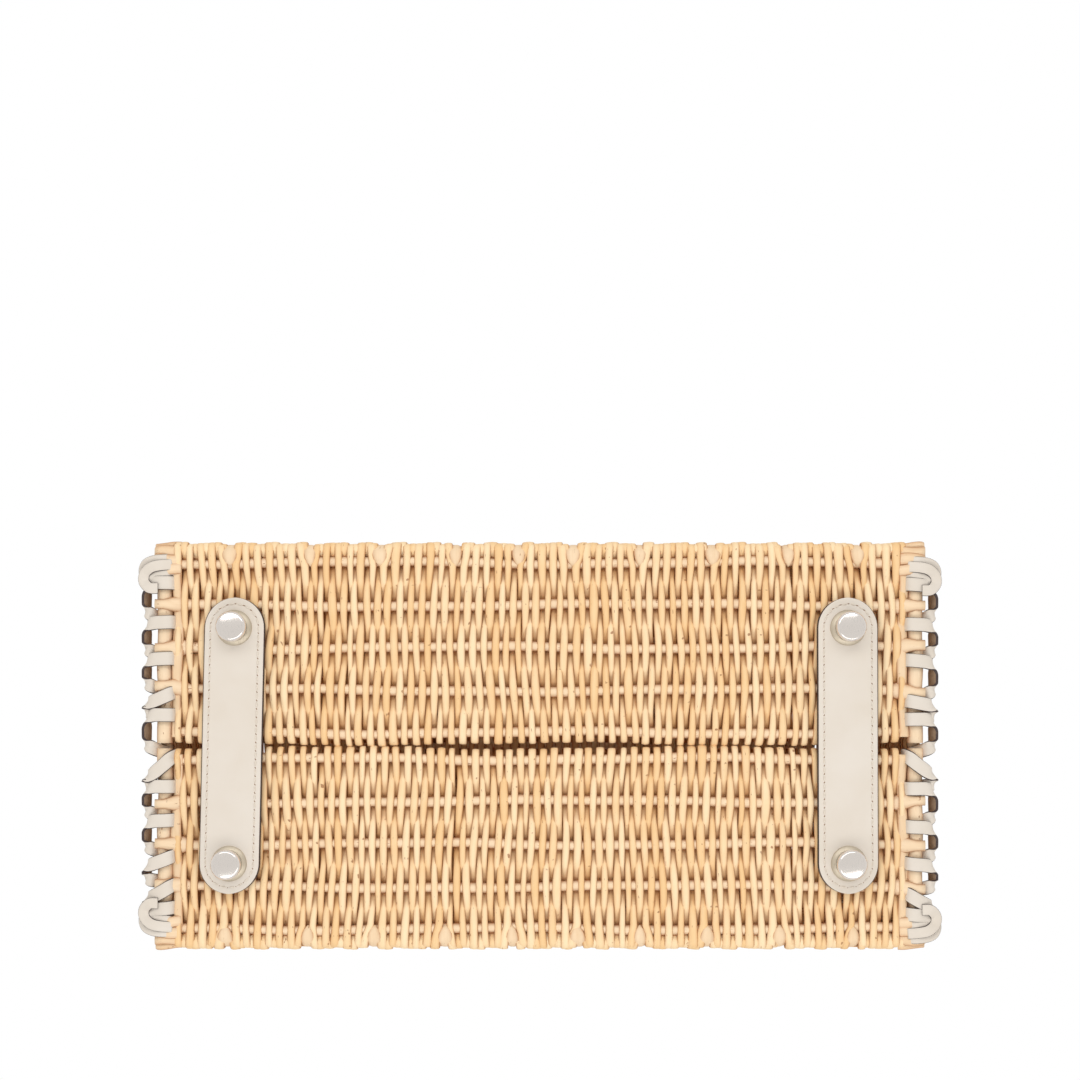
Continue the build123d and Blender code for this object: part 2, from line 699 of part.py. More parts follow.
for side, x_sign in sides:
    save(side_weave(x_sign), f"{side}_side_weave")
    save(side_stakes(x_sign), f"{side}_side_stakes")
    base_lace = end_lace(x_sign, base_bottom + rod_radius, -1, base_lace_margin, rod_radius + seat_gap)
    save(base_lace, f"{side}_base_lace")
    save(base_strap(x_sign), f"{side}_base_strap")
    save(hinge_strap_on_wall(x_sign), f"{side}_hinge_strap_on_wall")
    save(hinge_strap_on_lid(x_sign), f"{side}_hinge_strap_on_lid")
    save(lid_end_rod(x_sign), f"lid_{side}_end_rod")
    lid_lap_near = edge_depth - rod_radius + seat_gap
    lid_lace = end_lace(x_sign, lid_bottom + rod_radius, 1, lid_lace_margin, lid_lap_near)
    save(lid_lace, f"lid_{side}_lace")
    save(handle_loop(x_sign), f"{side}_handle_loop")
    ring_place = Pos(x_sign * handle_half_span, 0, ring_axis_z)
    save(ring_place * handle_ring.part, f"{side}_handle_ring")

for piece in (closing_tab, slot_plate, slot_rivets):
    piece.part = piece.part.rotate(fold_axis, -tab_lean)

save(foot_washers.part, "foot_washers")
save(foot_screws.part, "foot_screws")
save(wall_studs.part, "wall_studs")
save(wall_stud_roves.part, "wall_stud_roves")
save(lid_studs.part, "lid_studs")
save(lid_stud_roves.part, "lid_stud_roves")
save(lid_weave.part, "lid_weave")
save(lid_stakes.part, "lid_stakes")
save(lock_plate.part, "lock_plate")
save(lock_back_plate.part, "lock_back_plate")
save(lock_screws.part, "lock_screws")
save(toggle.part, "toggle")
save(toggle_collar.part, "toggle_collar")
save(closing_tab.part, "closing_tab")
save(slot_plate.part, "slot_plate")
save(slot_rivets.part, "slot_rivets")
save(tab_anchor.part, "tab_anchor")
save(handle.part, "handle")
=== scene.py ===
import bmesh
import bpy
import json
import math
import numpy as np
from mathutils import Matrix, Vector

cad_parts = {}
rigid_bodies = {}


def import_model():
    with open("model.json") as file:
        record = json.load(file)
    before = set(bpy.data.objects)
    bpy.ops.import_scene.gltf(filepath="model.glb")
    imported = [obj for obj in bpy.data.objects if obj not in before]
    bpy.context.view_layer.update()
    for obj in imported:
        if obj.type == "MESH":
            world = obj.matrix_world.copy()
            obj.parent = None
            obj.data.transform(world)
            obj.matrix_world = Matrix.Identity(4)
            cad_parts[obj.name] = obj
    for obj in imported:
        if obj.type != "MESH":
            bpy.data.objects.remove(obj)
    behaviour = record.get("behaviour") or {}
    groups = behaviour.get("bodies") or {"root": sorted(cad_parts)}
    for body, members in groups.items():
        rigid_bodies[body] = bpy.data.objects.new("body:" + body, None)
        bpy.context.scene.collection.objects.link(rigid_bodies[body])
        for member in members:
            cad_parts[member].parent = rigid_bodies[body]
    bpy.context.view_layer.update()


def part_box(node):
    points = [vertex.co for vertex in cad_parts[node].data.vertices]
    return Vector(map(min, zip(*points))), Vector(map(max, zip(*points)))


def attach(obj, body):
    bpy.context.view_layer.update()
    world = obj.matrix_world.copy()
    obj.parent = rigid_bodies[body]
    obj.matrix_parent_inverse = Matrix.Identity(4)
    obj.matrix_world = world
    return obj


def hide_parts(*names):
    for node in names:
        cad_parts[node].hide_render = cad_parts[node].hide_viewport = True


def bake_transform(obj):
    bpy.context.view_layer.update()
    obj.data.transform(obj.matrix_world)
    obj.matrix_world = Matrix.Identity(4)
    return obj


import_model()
mm = 0.001
print("frame loaded")

# camera: straight at the underside, the front of the bag at the top of the picture
cameraView = {
    "distance": 0.65,
    "lens": 47.67,
    "aimHeight": 12 * mm,
    "shiftX": 0.0,
    "shiftY": 0.1905,
}


def addCamera(view):
    data = bpy.data.cameras.new("camera")
    data.lens = view["lens"]
    data.sensor_width = 36.0
    data.shift_x = view["shiftX"]
    data.shift_y = view["shiftY"]
    data.clip_start = 0.01
    camera = bpy.data.objects.new("camera", data)
    bpy.context.scene.collection.objects.link(camera)
    camera.location = (0, 0, view["aimHeight"] - view["distance"])
    camera.rotation_euler = (math.pi, 0, 0)
    bpy.context.scene.camera = camera


addCamera(cameraView)
bpy.context.scene.view_settings.view_transform = "Standard"


def tint(red, green, blue):
    # screen values from 0 to 255, as a linear colour
    linear = []
    for part in (red, green, blue):
        share = part / 255
        linear.append(share / 12.92 if share <= 0.04045 else ((share + 0.055) / 1.055) ** 2.4)
    return (*linear, 1.0)


class Value:
    # one shader socket that can be written as a number in a formula
    def __init__(self, paint, socket):
        self.paint = paint
        self.socket = socket

    def combine(self, operation, first, second):
        return self.paint.node("ShaderNodeMath", {"operation": operation}, {0: first, 1: second})

    def __add__(self, other):
        return self.combine("ADD", self, other)

    def __rsub__(self, other):
        return self.combine("SUBTRACT", other, self)

    def __mul__(self, other):
        return self.combine("MULTIPLY", self, other)

    def __pow__(self, other):
        return self.combine("POWER", self, other)

    __radd__ = __add__
    __rmul__ = __mul__


class Paint:
    # a material or a world whose nodes are made one by one
    def __init__(self, name, kind="materials"):
        self.owner = getattr(bpy.data, kind).new(name)
        self.owner.use_nodes = True
        self.tree = self.owner.node_tree
        self.tree.nodes.clear()

    def node(self, kind, settings, values, output=0):
        made = self.tree.nodes.new(kind)
        for key, setting in settings.items():
            if key == "stops":
                ramp = made.color_ramp
                while len(ramp.elements) < len(setting):
                    ramp.elements.new(0.5)
                for element, (place, colour) in zip(ramp.elements, setting):
                    element.position = place
                    element.color = colour
            else:
                setattr(made, key, setting)
        for key, value in values.items():
            if isinstance(value, Value):
                self.tree.links.new(value.socket, made.inputs[key])
            else:
                made.inputs[key].default_value = value
        return Value(self, made.outputs[output])

    def place(self, output="Object"):
        return self.node("ShaderNodeTexCoord", {}, {}, output)

    def parts(self, vector):
        made = self.node("ShaderNodeSeparateXYZ", {}, {0: vector})
        outputs = made.socket.node.outputs
        return [Value(self, outputs[i]) for i in range(3)]

    def noise(self, vector, scale, stretch=(1, 1, 1), detail=2.0, roughness=0.5):
        placed = self.node("ShaderNodeMapping", {}, {"Vector": vector, "Scale": stretch})
        values = {"Vector": placed, "Scale": scale, "Detail": detail, "Roughness": roughness}
        return self.node("ShaderNodeTexNoise", {}, values)

    def ramp(self, value, low, high):
        stops = [(low, (0, 0, 0, 1)), (high, (1, 1, 1, 1))]
        return self.node("ShaderNodeValToRGB", {"stops": stops}, {0: value})

    def mix(self, share, first, second, blend="MIX"):
        settings = {"data_type": "RGBA", "blend_type": blend}
        return self.node("ShaderNodeMix", settings, {0: share, 6: first, 7: second}, 2)

    def bump(self, height, strength, distance):
        values = {"Height": height, "Strength": strength, "Distance": distance}
        return self.node("ShaderNodeBump", {}, values)

    def show(self, shader, kind="ShaderNodeOutputMaterial"):
        output = self.tree.nodes.new(kind)
        self.tree.links.new(shader.socket, output.inputs["Surface"])
        return self.owner

    def finish(self, values):
        return self.show(self.node("ShaderNodeBsdfPrincipled", {}, values))


# light: a soft white room, a little darker below so that metal shows its form
lightLook = {
    "room": 0.78,
    "below": 0.72,
    "tone": (1, 0.99, 0.97, 1),
    "power": 1.75,
    "long": 1.0,
    "wide": 0.26,
    "aim": (0, 0, 0.05),
    "frontPlace": (-0.06, -0.46, -0.62),
    "backPlace": (0.06, 0.46, -0.62),
}


def addWorld(look):
    # the camera itself sees plain white
    paint = Paint("room", "worlds")
    bpy.context.scene.world = paint.owner
    height = paint.parts(paint.place("Generated"))[2]
    span = {"From Min": -1.0, "From Max": 0.2, "To Min": look["below"], "To Max": look["room"]}
    strength = paint.node("ShaderNodeMapRange", {}, {"Value": height, **span}, "Result")
    lit = paint.node("ShaderNodeBackground", {}, {"Color": look["tone"], "Strength": strength})
    seen = paint.node("ShaderNodeBackground", {}, {"Color": (1, 1, 1, 1), "Strength": 1.0})
    direct = paint.node("ShaderNodeLightPath", {}, {}, "Is Camera Ray")
    mixed = paint.node("ShaderNodeMixShader", {}, {0: direct, 1: lit, 2: seen})
    paint.show(mixed, "ShaderNodeOutputWorld")


def addLight(name, look, place):
    data = bpy.data.lights.new(name, "AREA")
    data.shape = "RECTANGLE"
    data.energy = look["power"]
    data.size = look["long"]
    data.size_y = look["wide"]
    light = bpy.data.objects.new(name, data)
    bpy.context.scene.collection.objects.link(light)
    light.location = place
    aim = Vector(look["aim"]) - Vector(place)
    light.rotation_euler = aim.to_track_quat("-Z", "Y").to_euler()


addWorld(lightLook)
addLight("frontLight", lightLook, lightLook["frontPlace"])
addLight("backLight", lightLook, lightLook["backPlace"])


floorLook = {"size": 9.0, "paper": (0.86, 0.86, 0.85, 1)}


def addFloor(look):
    # pale floor, open to every ray but the camera's own, and to that from below
    mesh = bpy.data.meshes.new("floor")
    corners = [(x * look["size"], y * look["size"], 0) for x, y in ((-1, -1), (1, -1), (1, 1), (-1, 1))]
    mesh.from_pydata(corners, [], [(0, 1, 2, 3)])
    floor = bpy.data.objects.new("floor", mesh)
    bpy.context.scene.collection.objects.link(floor)
    paint = Paint("floorPaint")
    paper = paint.node("ShaderNodeBsdfDiffuse", {}, {"Color": look["paper"]})
    clear = paint.node("ShaderNodeBsdfTransparent", {}, {})
    back = paint.node("ShaderNodeNewGeometry", {}, {}, "Backfacing")
    direct = paint.node("ShaderNodeLightPath", {}, {}, "Is Camera Ray")
    shown = direct * (1 - back)
    mesh.materials.append(paint.show(paint.node("ShaderNodeMixShader", {}, {0: shown, 1: clear, 2: paper})))


addFloor(floorLook)
print("camera, light and floor set")


# materials
willowLook = {
    "pale": tint(255, 228, 186),
    "tan": tint(246, 205, 150),
    # painted shade: this colour and the deepest one below darken the strands where they dive under the stakes
    "paintedShade": tint(236, 170, 88),
    # the strands' browner sides: partly the willow's own darker edges, partly painted shade
    "edge": tint(188, 110, 38),
    "paintedDeepShade": tint(140, 60, 10),
    "fleck": tint(150, 88, 40),
}


def makeWillow(name, look, paintedShadeShare=0.85):
    # strandSpace is (across, along, number) in millimetres; strandMarks is (edge, depth, tone); depth, how
    # far a strand dives below the face, paints shade into the colour
    paint = Paint(name)
    space, marks = [
        paint.node("ShaderNodeAttribute", {"attribute_name": label}, {}, "Vector")
        for label in ("strandSpace", "strandMarks")
    ]
    edge, depth, tone = paint.parts(marks)
    streak = paint.noise(space, 1.0, (2.6, 0.07, 1.7), 3.0)
    blotch = paint.noise(space, 1.0, (0.35, 0.12, 1.3), 2.0)
    flecks = paint.ramp(paint.noise(space, 1.0, (1.1, 0.33, 2.1), 1.0), 0.72, 0.78)
    share = paint.ramp(tone * 0.55 + streak * 0.35 + blotch * 0.45, 0.42, 0.95)
    colour = paint.mix(share, look["pale"], look["tan"])
    # strand sides browner: partly the willow's own darker edges, partly painted shade along the sides
    colour = paint.mix((edge ** 2.4) * 0.75, colour, look["edge"])
    colour = paint.mix(flecks * 0.75, colour, look["fleck"])
    # painted shade: strands darken where they dive below the face, to a deep brown beside the stakes
    colour = paint.mix(paint.ramp(depth, 0.36, 0.74) * 0.4, colour, look["paintedShade"])
    colour = paint.mix(paint.ramp(depth, 0.70, 1.0) * paintedShadeShare, colour, look["paintedDeepShade"])
    fibre = paint.noise(space, 1.0, (5.0, 0.12, 1.1), 2.0)
    normal = paint.bump(fibre, 0.35, 0.00035)
    rough = 0.46 + 0.16 * streak
    values = {"Base Color": colour, "Roughness": rough, "Normal": normal}
    return paint.finish({**values, "Specular IOR Level": 0.35})


leatherLook = {
    "cream": tint(228, 219, 208),
    "warm": tint(222, 211, 197),
    "edgePaint": tint(58, 44, 44),
    "flesh": tint(165, 138, 112),
    "fleshDark": tint(128, 104, 82),
}


def makeLeather(name, look):
    paint = Paint(name)
    place = paint.place()
    cloud = paint.noise(place, 45.0, detail=3.0)
    colour = paint.mix(paint.ramp(cloud, 0.3, 0.75), look["cream"], look["warm"])
    pores = paint.node("ShaderNodeTexVoronoi", {"feature": "F1"}, {"Vector": place, "Scale": 2600.0})
    grain = pores * 0.6 + paint.noise(place, 900.0, detail=3.0) * 0.6
    normal = paint.bump(grain, 0.22, 0.00012)
    rough = 0.42 + 0.12 * cloud
    values = {"Base Color": colour, "Roughness": rough, "Normal": normal}
    return paint.finish({**values, "Specular IOR Level": 0.4})


def makeEdgePaint(name, look):
    paint = Paint(name)
    place = paint.place()
    wave = paint.noise(place, 380.0, detail=2.0)
    worn = paint.ramp(wave, 0.62, 0.8)
    colour = paint.mix(worn * 0.5, look["edgePaint"], look["fleshDark"])
    normal = paint.bump(wave, 0.3, 0.0002)
    return paint.finish({"Base Color": colour, "Roughness": 0.38 + 0.1 * wave, "Normal": normal})


def makeFlesh(name, look):
    paint = Paint(name)
    place = paint.place()
    fibre = paint.noise(place, 700.0, detail=4.0, roughness=0.7)
    colour = paint.mix(fibre, look["fleshDark"], look["flesh"])
    normal = paint.bump(fibre, 0.6, 0.0003)
    return paint.finish({"Base Color": colour, "Roughness": 0.85, "Normal": normal})


def makeMetal(name, bright=tint(243, 236, 230), worn=tint(172, 168, 164), scratches=0.3, dull=0.1):
    paint = Paint(name)
    place = paint.place()
    fine = paint.noise(place, 260.0, (1, 6, 1), 4.0, 0.7)
    marks = paint.ramp(paint.noise(place, 420.0, (7, 1, 1), 3.0), 0.6, 0.72)
    normal = paint.bump(fine, 0.12, 0.00008)
    colour = paint.mix(marks * scratches, bright, worn)
    rough = dull + 0.10 * fine + scratches * 0.5 * marks
    return paint.finish({"Base Color": colour, "Metallic": 1.0, "Roughness": rough, "Normal": normal})


def makeThread(name):
    paint = Paint(name)
    place = paint.place()
    twist = paint.noise(place, 1500.0, detail=1.0)
    colour = paint.mix(twist, tint(205, 190, 172), tint(243, 235, 222))
    return paint.finish({"Base Color": colour, "Roughness": 0.6})


willow = makeWillow("willow", willowLook)
rodLook = {**willowLook, "pale": tint(250, 224, 190), "tan": tint(236, 201, 158)}
willowRod = makeWillow("willowRod", rodLook, 0.6)
leather = makeLeather("creamLeather", leatherLook)
edgePaint = makeEdgePaint("edgePaint", leatherLook)
flesh = makeFlesh("leatherFlesh", leatherLook)
metal = makeMetal("polishedMetal")
# painted reflection: a warmer, darker satin metal that stands in for the shaded cream leather mirrored in the
# feet's flanges
flangePaintedReflection = makeMetal("satinPaintedReflection", tint(204, 192, 172), tint(176, 162, 142), 0.5, 0.42)
thread = makeThread("thread")
# painted shade: a dark brown for the needle holes, which are not cut into the leather
holeShade = makeEdgePaint("stitchHoleShade", {"edgePaint": tint(150, 120, 95), "fleshDark": tint(120, 92, 70)})
print("materials made")


# meshes
class Gather:
    # collects rings of points and four-sided faces until they become one object
    def __init__(self):
        self.points, self.quads, self.kinds, self.space, self.marks = [], [], [], [], []
        self.count = 0

    def add(self, points, quads, kind=0, space=None, marks=None):
        blank = np.zeros((len(points), 3))
        self.points.append(points)
        self.quads.append(quads + self.count)
        self.kinds.append(np.broadcast_to(np.asarray(kind), (len(quads),)))
        self.space.append(blank if space is None else space)
        self.marks.append(blank if marks is None else marks)
        self.count += len(points)

    def build(self, name, materials, body, slotName, replaced=()):
        points = np.concatenate(self.points) * mm
        quads = np.concatenate(self.quads)
        mesh = bpy.data.meshes.new(name)
        mesh.vertices.add(len(points))
        mesh.vertices.foreach_set("co", points.ravel())
        mesh.loops.add(quads.size)
        mesh.loops.foreach_set("vertex_index", quads.ravel().astype(np.int32))
        mesh.polygons.add(len(quads))
        mesh.polygons.foreach_set("loop_start", np.arange(0, quads.size, 4, dtype=np.int32))
        mesh.polygons.foreach_set("material_index", np.concatenate(self.kinds).astype(np.int32))
        mesh.update(calc_edges=True)
        mesh.validate()
        mesh.shade_smooth()
        for label, rows in (("strandSpace", self.space), ("strandMarks", self.marks)):
            layer = mesh.attributes.new(label, "FLOAT_VECTOR", "POINT")
            layer.data.foreach_set("vector", np.concatenate(rows).ravel().astype(np.float32))
        for material in materials:
            mesh.materials.append(material)
        piece = bpy.data.objects.new(name, mesh)
        bpy.context.scene.collection.objects.link(piece)
        if body:
            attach(piece, body)
        if replaced:
            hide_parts(*replaced)
        return piece


def unit(rows):
    return rows / np.maximum(np.linalg.norm(rows, axis=-1, keepdims=True), 1e-9)


def roundSection(sides, power=1.0):
    angle = np.arange(sides) / sides * 2 * math.pi
    wide, tall = np.cos(angle), np.sin(angle)
    return np.stack([np.sign(wide) * abs(wide) ** power, np.sign(tall) * abs(tall) ** power], 1)


def tube(rows, sides, flipped=False):
    # four-sided faces round a line of rings, and strips of them that close both ends
    here = np.arange(sides)
    ahead = (here + 1) % sides
    first = (np.arange(rows - 1) * sides)[:, None]
    walls = np.stack([first + here, first + ahead, first + sides + ahead, first + sides + here], -1)
    walls = walls.reshape(-1, 4)
    lids = []
    for a in range(sides // 2 - 1):
        lid = np.array([a, a + 1, sides - 2 - a, sides - 1 - a])
        lids += [lid[::-1], (rows - 1) * sides + lid]
    lids = np.array(lids)
    return (walls[:, [0, 3, 2, 1]], lids[:, ::-1]) if flipped else (walls, lids)


def sweep(net, centre, side, wide, thick, section, kind=0, tone=0.5, number=0.0, height=None, lift=1.0):
    # one strand, with its centre as (step, 3), or many at once, as (strand, step, 3)
    centre = centre if centre.ndim == 3 else centre[None]
    strands, steps = centre.shape[:2]
    sides = len(section)
    along = unit(np.gradient(centre, axis=1))
    up = unit(np.cross(along, side))
    side = np.cross(up, along)
    wide = np.broadcast_to(wide, (strands, steps))
    thick = np.broadcast_to(thick, (strands, steps))
    offset = side[:, :, None] * (wide[..., None] * section[:, 0])[..., None]
    offset = offset + up[:, :, None] * (thick[..., None] * section[:, 1])[..., None]
    points = centre[:, :, None] + offset
    run = np.cumsum(np.linalg.norm(np.diff(centre, axis=1, prepend=centre[:, :1]), axis=-1), axis=1)
    space = np.zeros(points.shape)
    space[..., 0] = wide[..., None] * section[:, 0] + 3.7 * section[:, 1]
    space[..., 1] = run[..., None]
    space[..., 2] = np.broadcast_to(np.asarray(number, float), (strands,))[:, None, None]
    marks = np.zeros(points.shape)
    marks[..., 0] = abs(section[:, 0]) ** 2
    if height is not None:
        facing = np.where(section[:, 1] >= -0.01, 1.0, -1.0)
        marks[..., 1] = np.clip((lift - height[..., None] * facing) / (2 * lift), 0, 1)
    marks[..., 2] = np.broadcast_to(np.asarray(tone, float), (strands,))[:, None, None]
    first = (np.arange(strands) * steps * sides)[:, None, None]
    walls, lids = tube(steps, sides)
    wallKind = np.broadcast_to(np.asarray(kind), (sides,))
    wallKinds = np.broadcast_to(wallKind, (strands, steps - 1, sides)).reshape(-1)
    lids = (lids[:, None] + first[:, 0]).reshape(-1, 4)
    quads = np.concatenate([(walls + first).reshape(-1, 4), lids])
    kinds = np.concatenate([wallKinds, np.full(len(lids), wallKind[0])])
    net.add(points.reshape(-1, 3), quads, kinds, space.reshape(-1, 3), marks.reshape(-1, 3))


# woven panels: strands pass over one stake and under the next, their neighbours the other way
weaveLook = {
    "pitch": 2.6,
    "lift": 2.75,
    "broad": 1.74,
    "crossing": 1.47,
    "thin": 0.62,
    "thick": 0.74,
    "stray": 0.24,
    "wander": 0.6,
    "stakeWander": 0.7,
    "roll": 0.16,
    "turnReach": 3.9,
    "rise": 0.74,
}


class Panel:
    # origin, along (the strands), across (the stakes) and outward, a right-handed set
    def __init__(self, origin, along, across, seed):
        self.origin = np.array(origin, float)
        self.along = np.array(along, float)
        self.across = np.array(across, float)
        self.outward = np.cross(self.along, self.across)
        self.random = np.random.default_rng(seed)
        self.seed = seed

    def at(self, s, t, n):
        s, t, n = np.broadcast_arrays(s, t, n)
        place = self.origin + s[..., None] * self.along + t[..., None] * self.across
        return place + n[..., None] * self.outward


def stakeLine(look, rod, index, seed, t):
    swing = math.sin(3.1 * index + seed)
    wide = look["stakeWander"] * np.sin(t * 0.031 * (1 + 0.2 * swing) + 2.4 * index + seed)
    return rod + wide + 0.35 * look["stakeWander"] * np.sin(t * 0.087 + 1.7 * index + 2 * seed)


def drift(look, s, t, seed):
    slow = np.sin(s * 0.045 + t * 0.021 + seed) + 0.6 * np.sin(s * 0.10 - t * 0.047 + 2 * seed)
    return look["wander"] * slow


def strandEnd(look, rod, edge, over, style):
    # places, heights and closeness of the steps after the last stake
    way = np.sign(edge - rod.mean())
    lift = look["lift"]
    if style == "turn":
        if not over:
            return rod[:, None], np.full((len(rod), 1), -lift), np.ones((len(rod), 1))
        turn = np.radians(np.linspace(0, 175, 8))
        ragged = 1 + 0.05 * np.sin(np.arange(len(rod)) * 1.9 + edge)[:, None]
        s = rod[:, None] + way * look["turnReach"] * ragged * np.sin(turn)
        return s, np.broadcast_to(lift * np.cos(turn), s.shape), np.ones(s.shape)
    centre = edge - way * (lift + 0.5)
    share = np.linspace(0, 1, 5)
    s = rod[:, None] + (centre - rod[:, None]) * share
    turn = np.radians(np.linspace(25, 150, 6))
    if over:
        n = np.full(s.shape, lift)
        radius, reach = lift, lift
    else:
        radius, reach = lift * 0.86, lift * 1.06
        n = np.broadcast_to(-lift + (radius + lift) * (0.5 - 0.5 * np.cos(math.pi * share)), s.shape)
    ragged = 1 + 0.17 * np.sin(np.arange(len(rod)) * 2.3 + edge)[:, None]
    s = np.concatenate([s, centre + way * reach * ragged * np.sin(turn)], 1)
    n = np.concatenate([n, np.broadcast_to(radius * np.cos(turn), (len(rod), 6))], 1)
    closeness = np.ones(s.shape)
    if not over:
        closeness[:, :5] = 0.55 + 0.45 * abs(np.cos(math.pi * share))
    return s, n, closeness


def weave(net, panel, look, rods, low, high, ends, knobs=(), sides=8, steps=8):
    # ends is ((edge, style), (edge, style)); knobs are places where strands are pushed apart
    random = panel.random
    pitch = look["pitch"]
    count = int(round((high - low) / pitch))
    pitch = (high - low) / count
    middles = low + (np.arange(count) + 0.5) * pitch
    stray = random.normal(0, look["stray"], count).clip(-0.6, 0.6)
    breadth = random.normal(1.0, 0.10, count).clip(0.78, 1.22)
    rods = list(rods)
    for parity in (0, 1):
        chosen = np.arange(parity, count, 2)
        t = middles[chosen]
        lines = [stakeLine(look, rod, i, panel.seed, t) for i, rod in enumerate(rods)]
        overAt = [(i + parity) % 2 == 0 for i in range(len(rods))]
        parts = []
        s, n, near = strandEnd(look, lines[0], ends[0][0], overAt[0], ends[0][1])
        parts.append((s[:, ::-1], n[:, ::-1], near[:, ::-1]))
        for i in range(len(rods) - 1):
            share = np.arange(1 if i == 0 else 0, steps) / steps
            # a strand comes up early beside the stake that it passes under
            climb = share if overAt[i] else 1 - share
            climb = 1 - (1 - climb) ** look["rise"]
            wave = 0.65 * np.cos(math.pi * climb) + 0.35 * (1 - 2 * climb)
            s = lines[i][:, None] + (lines[i + 1] - lines[i])[:, None] * share
            n = np.broadcast_to(look["lift"] * wave, s.shape)
            near = np.broadcast_to(abs(np.cos(math.pi * share)) ** 0.9, s.shape)
            parts.append((s, n, near))
        parts.append(strandEnd(look, lines[-1], ends[1][0], overAt[-1], ends[1][1]))
        s, n, near = (np.concatenate([part[i] for part in parts], 1) for i in range(3))
        phase = random.uniform(0, 6.28, (len(t), 1))
        shift = stray[chosen][:, None] + drift(look, s, t[:, None], panel.seed)
        shift = shift + 0.20 * np.sin(s * 0.17 + phase)
        for knobAt, edge, reach in knobs:
            away = t[:, None] - knobAt
            close = np.exp(-((away / 3.6) ** 2)) * np.clip((reach - abs(edge - s)) / reach, 0, 1) ** 0.6
            shift = shift + np.where(away >= 0, 1, -1) * 3.1 * close
        span = max(abs(low), abs(high))
        shift = shift * np.clip((span - abs(t[:, None])) / 6, 0.1, 1)
        wide = (look["crossing"] + (look["broad"] - look["crossing"]) * near) * breadth[chosen][:, None]
        wide = wide * (1 + 0.05 * np.sin(s * 0.21 + 2 * phase))
        for edge, style in ends:
            if style == "edge":
                wide = wide * (1 + 0.22 * np.clip(1 - abs(edge - s) / 9, 0, 1))
        thick = look["thick"] + (look["thin"] - look["thick"]) * near
        tipEase = np.ones(s.shape[1])
        tipEase[0] = tipEase[-1] = 0.6
        centre = panel.at(s, t[:, None] + shift, n)
        roll = look["roll"] * np.sin(s * 0.12 + phase) + random.normal(0, 0.06, (len(t), 1))
        side = panel.across + roll[..., None] * panel.outward
        tones = random.uniform(0, 1, len(t))
        numbers = random.uniform(0, 90, len(t))
        section = roundSection(sides, 0.85)
        sweep(net, centre, side, wide * tipEase, thick * tipEase, section, 0, tones, numbers, n, look["lift"])


def eased(share):
    return share * share * (3 - 2 * share)


wicker = [willow, willowRod]
baseLow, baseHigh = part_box("front_base_weave")
baseMiddle = (baseLow.z + baseHigh.z) / 2 / mm
panelLength = baseHigh.x / mm
halfDepth = -baseLow.y / mm

baseLook = {
    "stakeAt": [6.0, 25.4, 44.8, 64.2, 83.6],
    "stakeEvery": 19.4,
    "stakeRadius": 2.3,
    "stakeReach": 175.0,
    "knobReach": 10.0,
    "splitReach": 4.85,
    "stakeProud": 0.4,
}
# the ends of the wall stakes; each shape is a list of shares along the end, and the sizes there
knobLook = {
    "depth": ([0, 0.3, 0.55, 0.8, 1], [89, 90.6, 88.0, 84.6, 81.8]),
    "height": ([0, 0.3, 0.55, 0.8, 1], [21, 15.2, 12.5, 12.2, 13.4]),
    "wide": ([0, 0.35, 0.6, 0.78, 0.92, 1], [2.6, 3.5, 3.3, 2.7, 1.7, 0.5]),
    "thin": ([0, 0.5, 0.8, 1], [2.0, 1.3, 1.0, 0.5]),
}
halfSpaces = 4.5  # half of the nine spaces between ten wall stakes
stakeEvery = (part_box("front_wall_stakes")[1].x / mm - baseLook["stakeRadius"]) / halfSpaces
stakeStray = {
    -1: [1.5, 6.0, 6.0, 9.0, 6.5, -0.5, -2.0, -1.0, 1.5, 1.5],
    1: [-0.5, 5.0, 3.5, 4.5, 3.5, 1.5, -2.0, -3.5, -2.5, -0.5],
}


def wallStakePlaces(way):
    return [stakeEvery * (i - halfSpaces) + stray for i, stray in enumerate(stakeStray[way])]


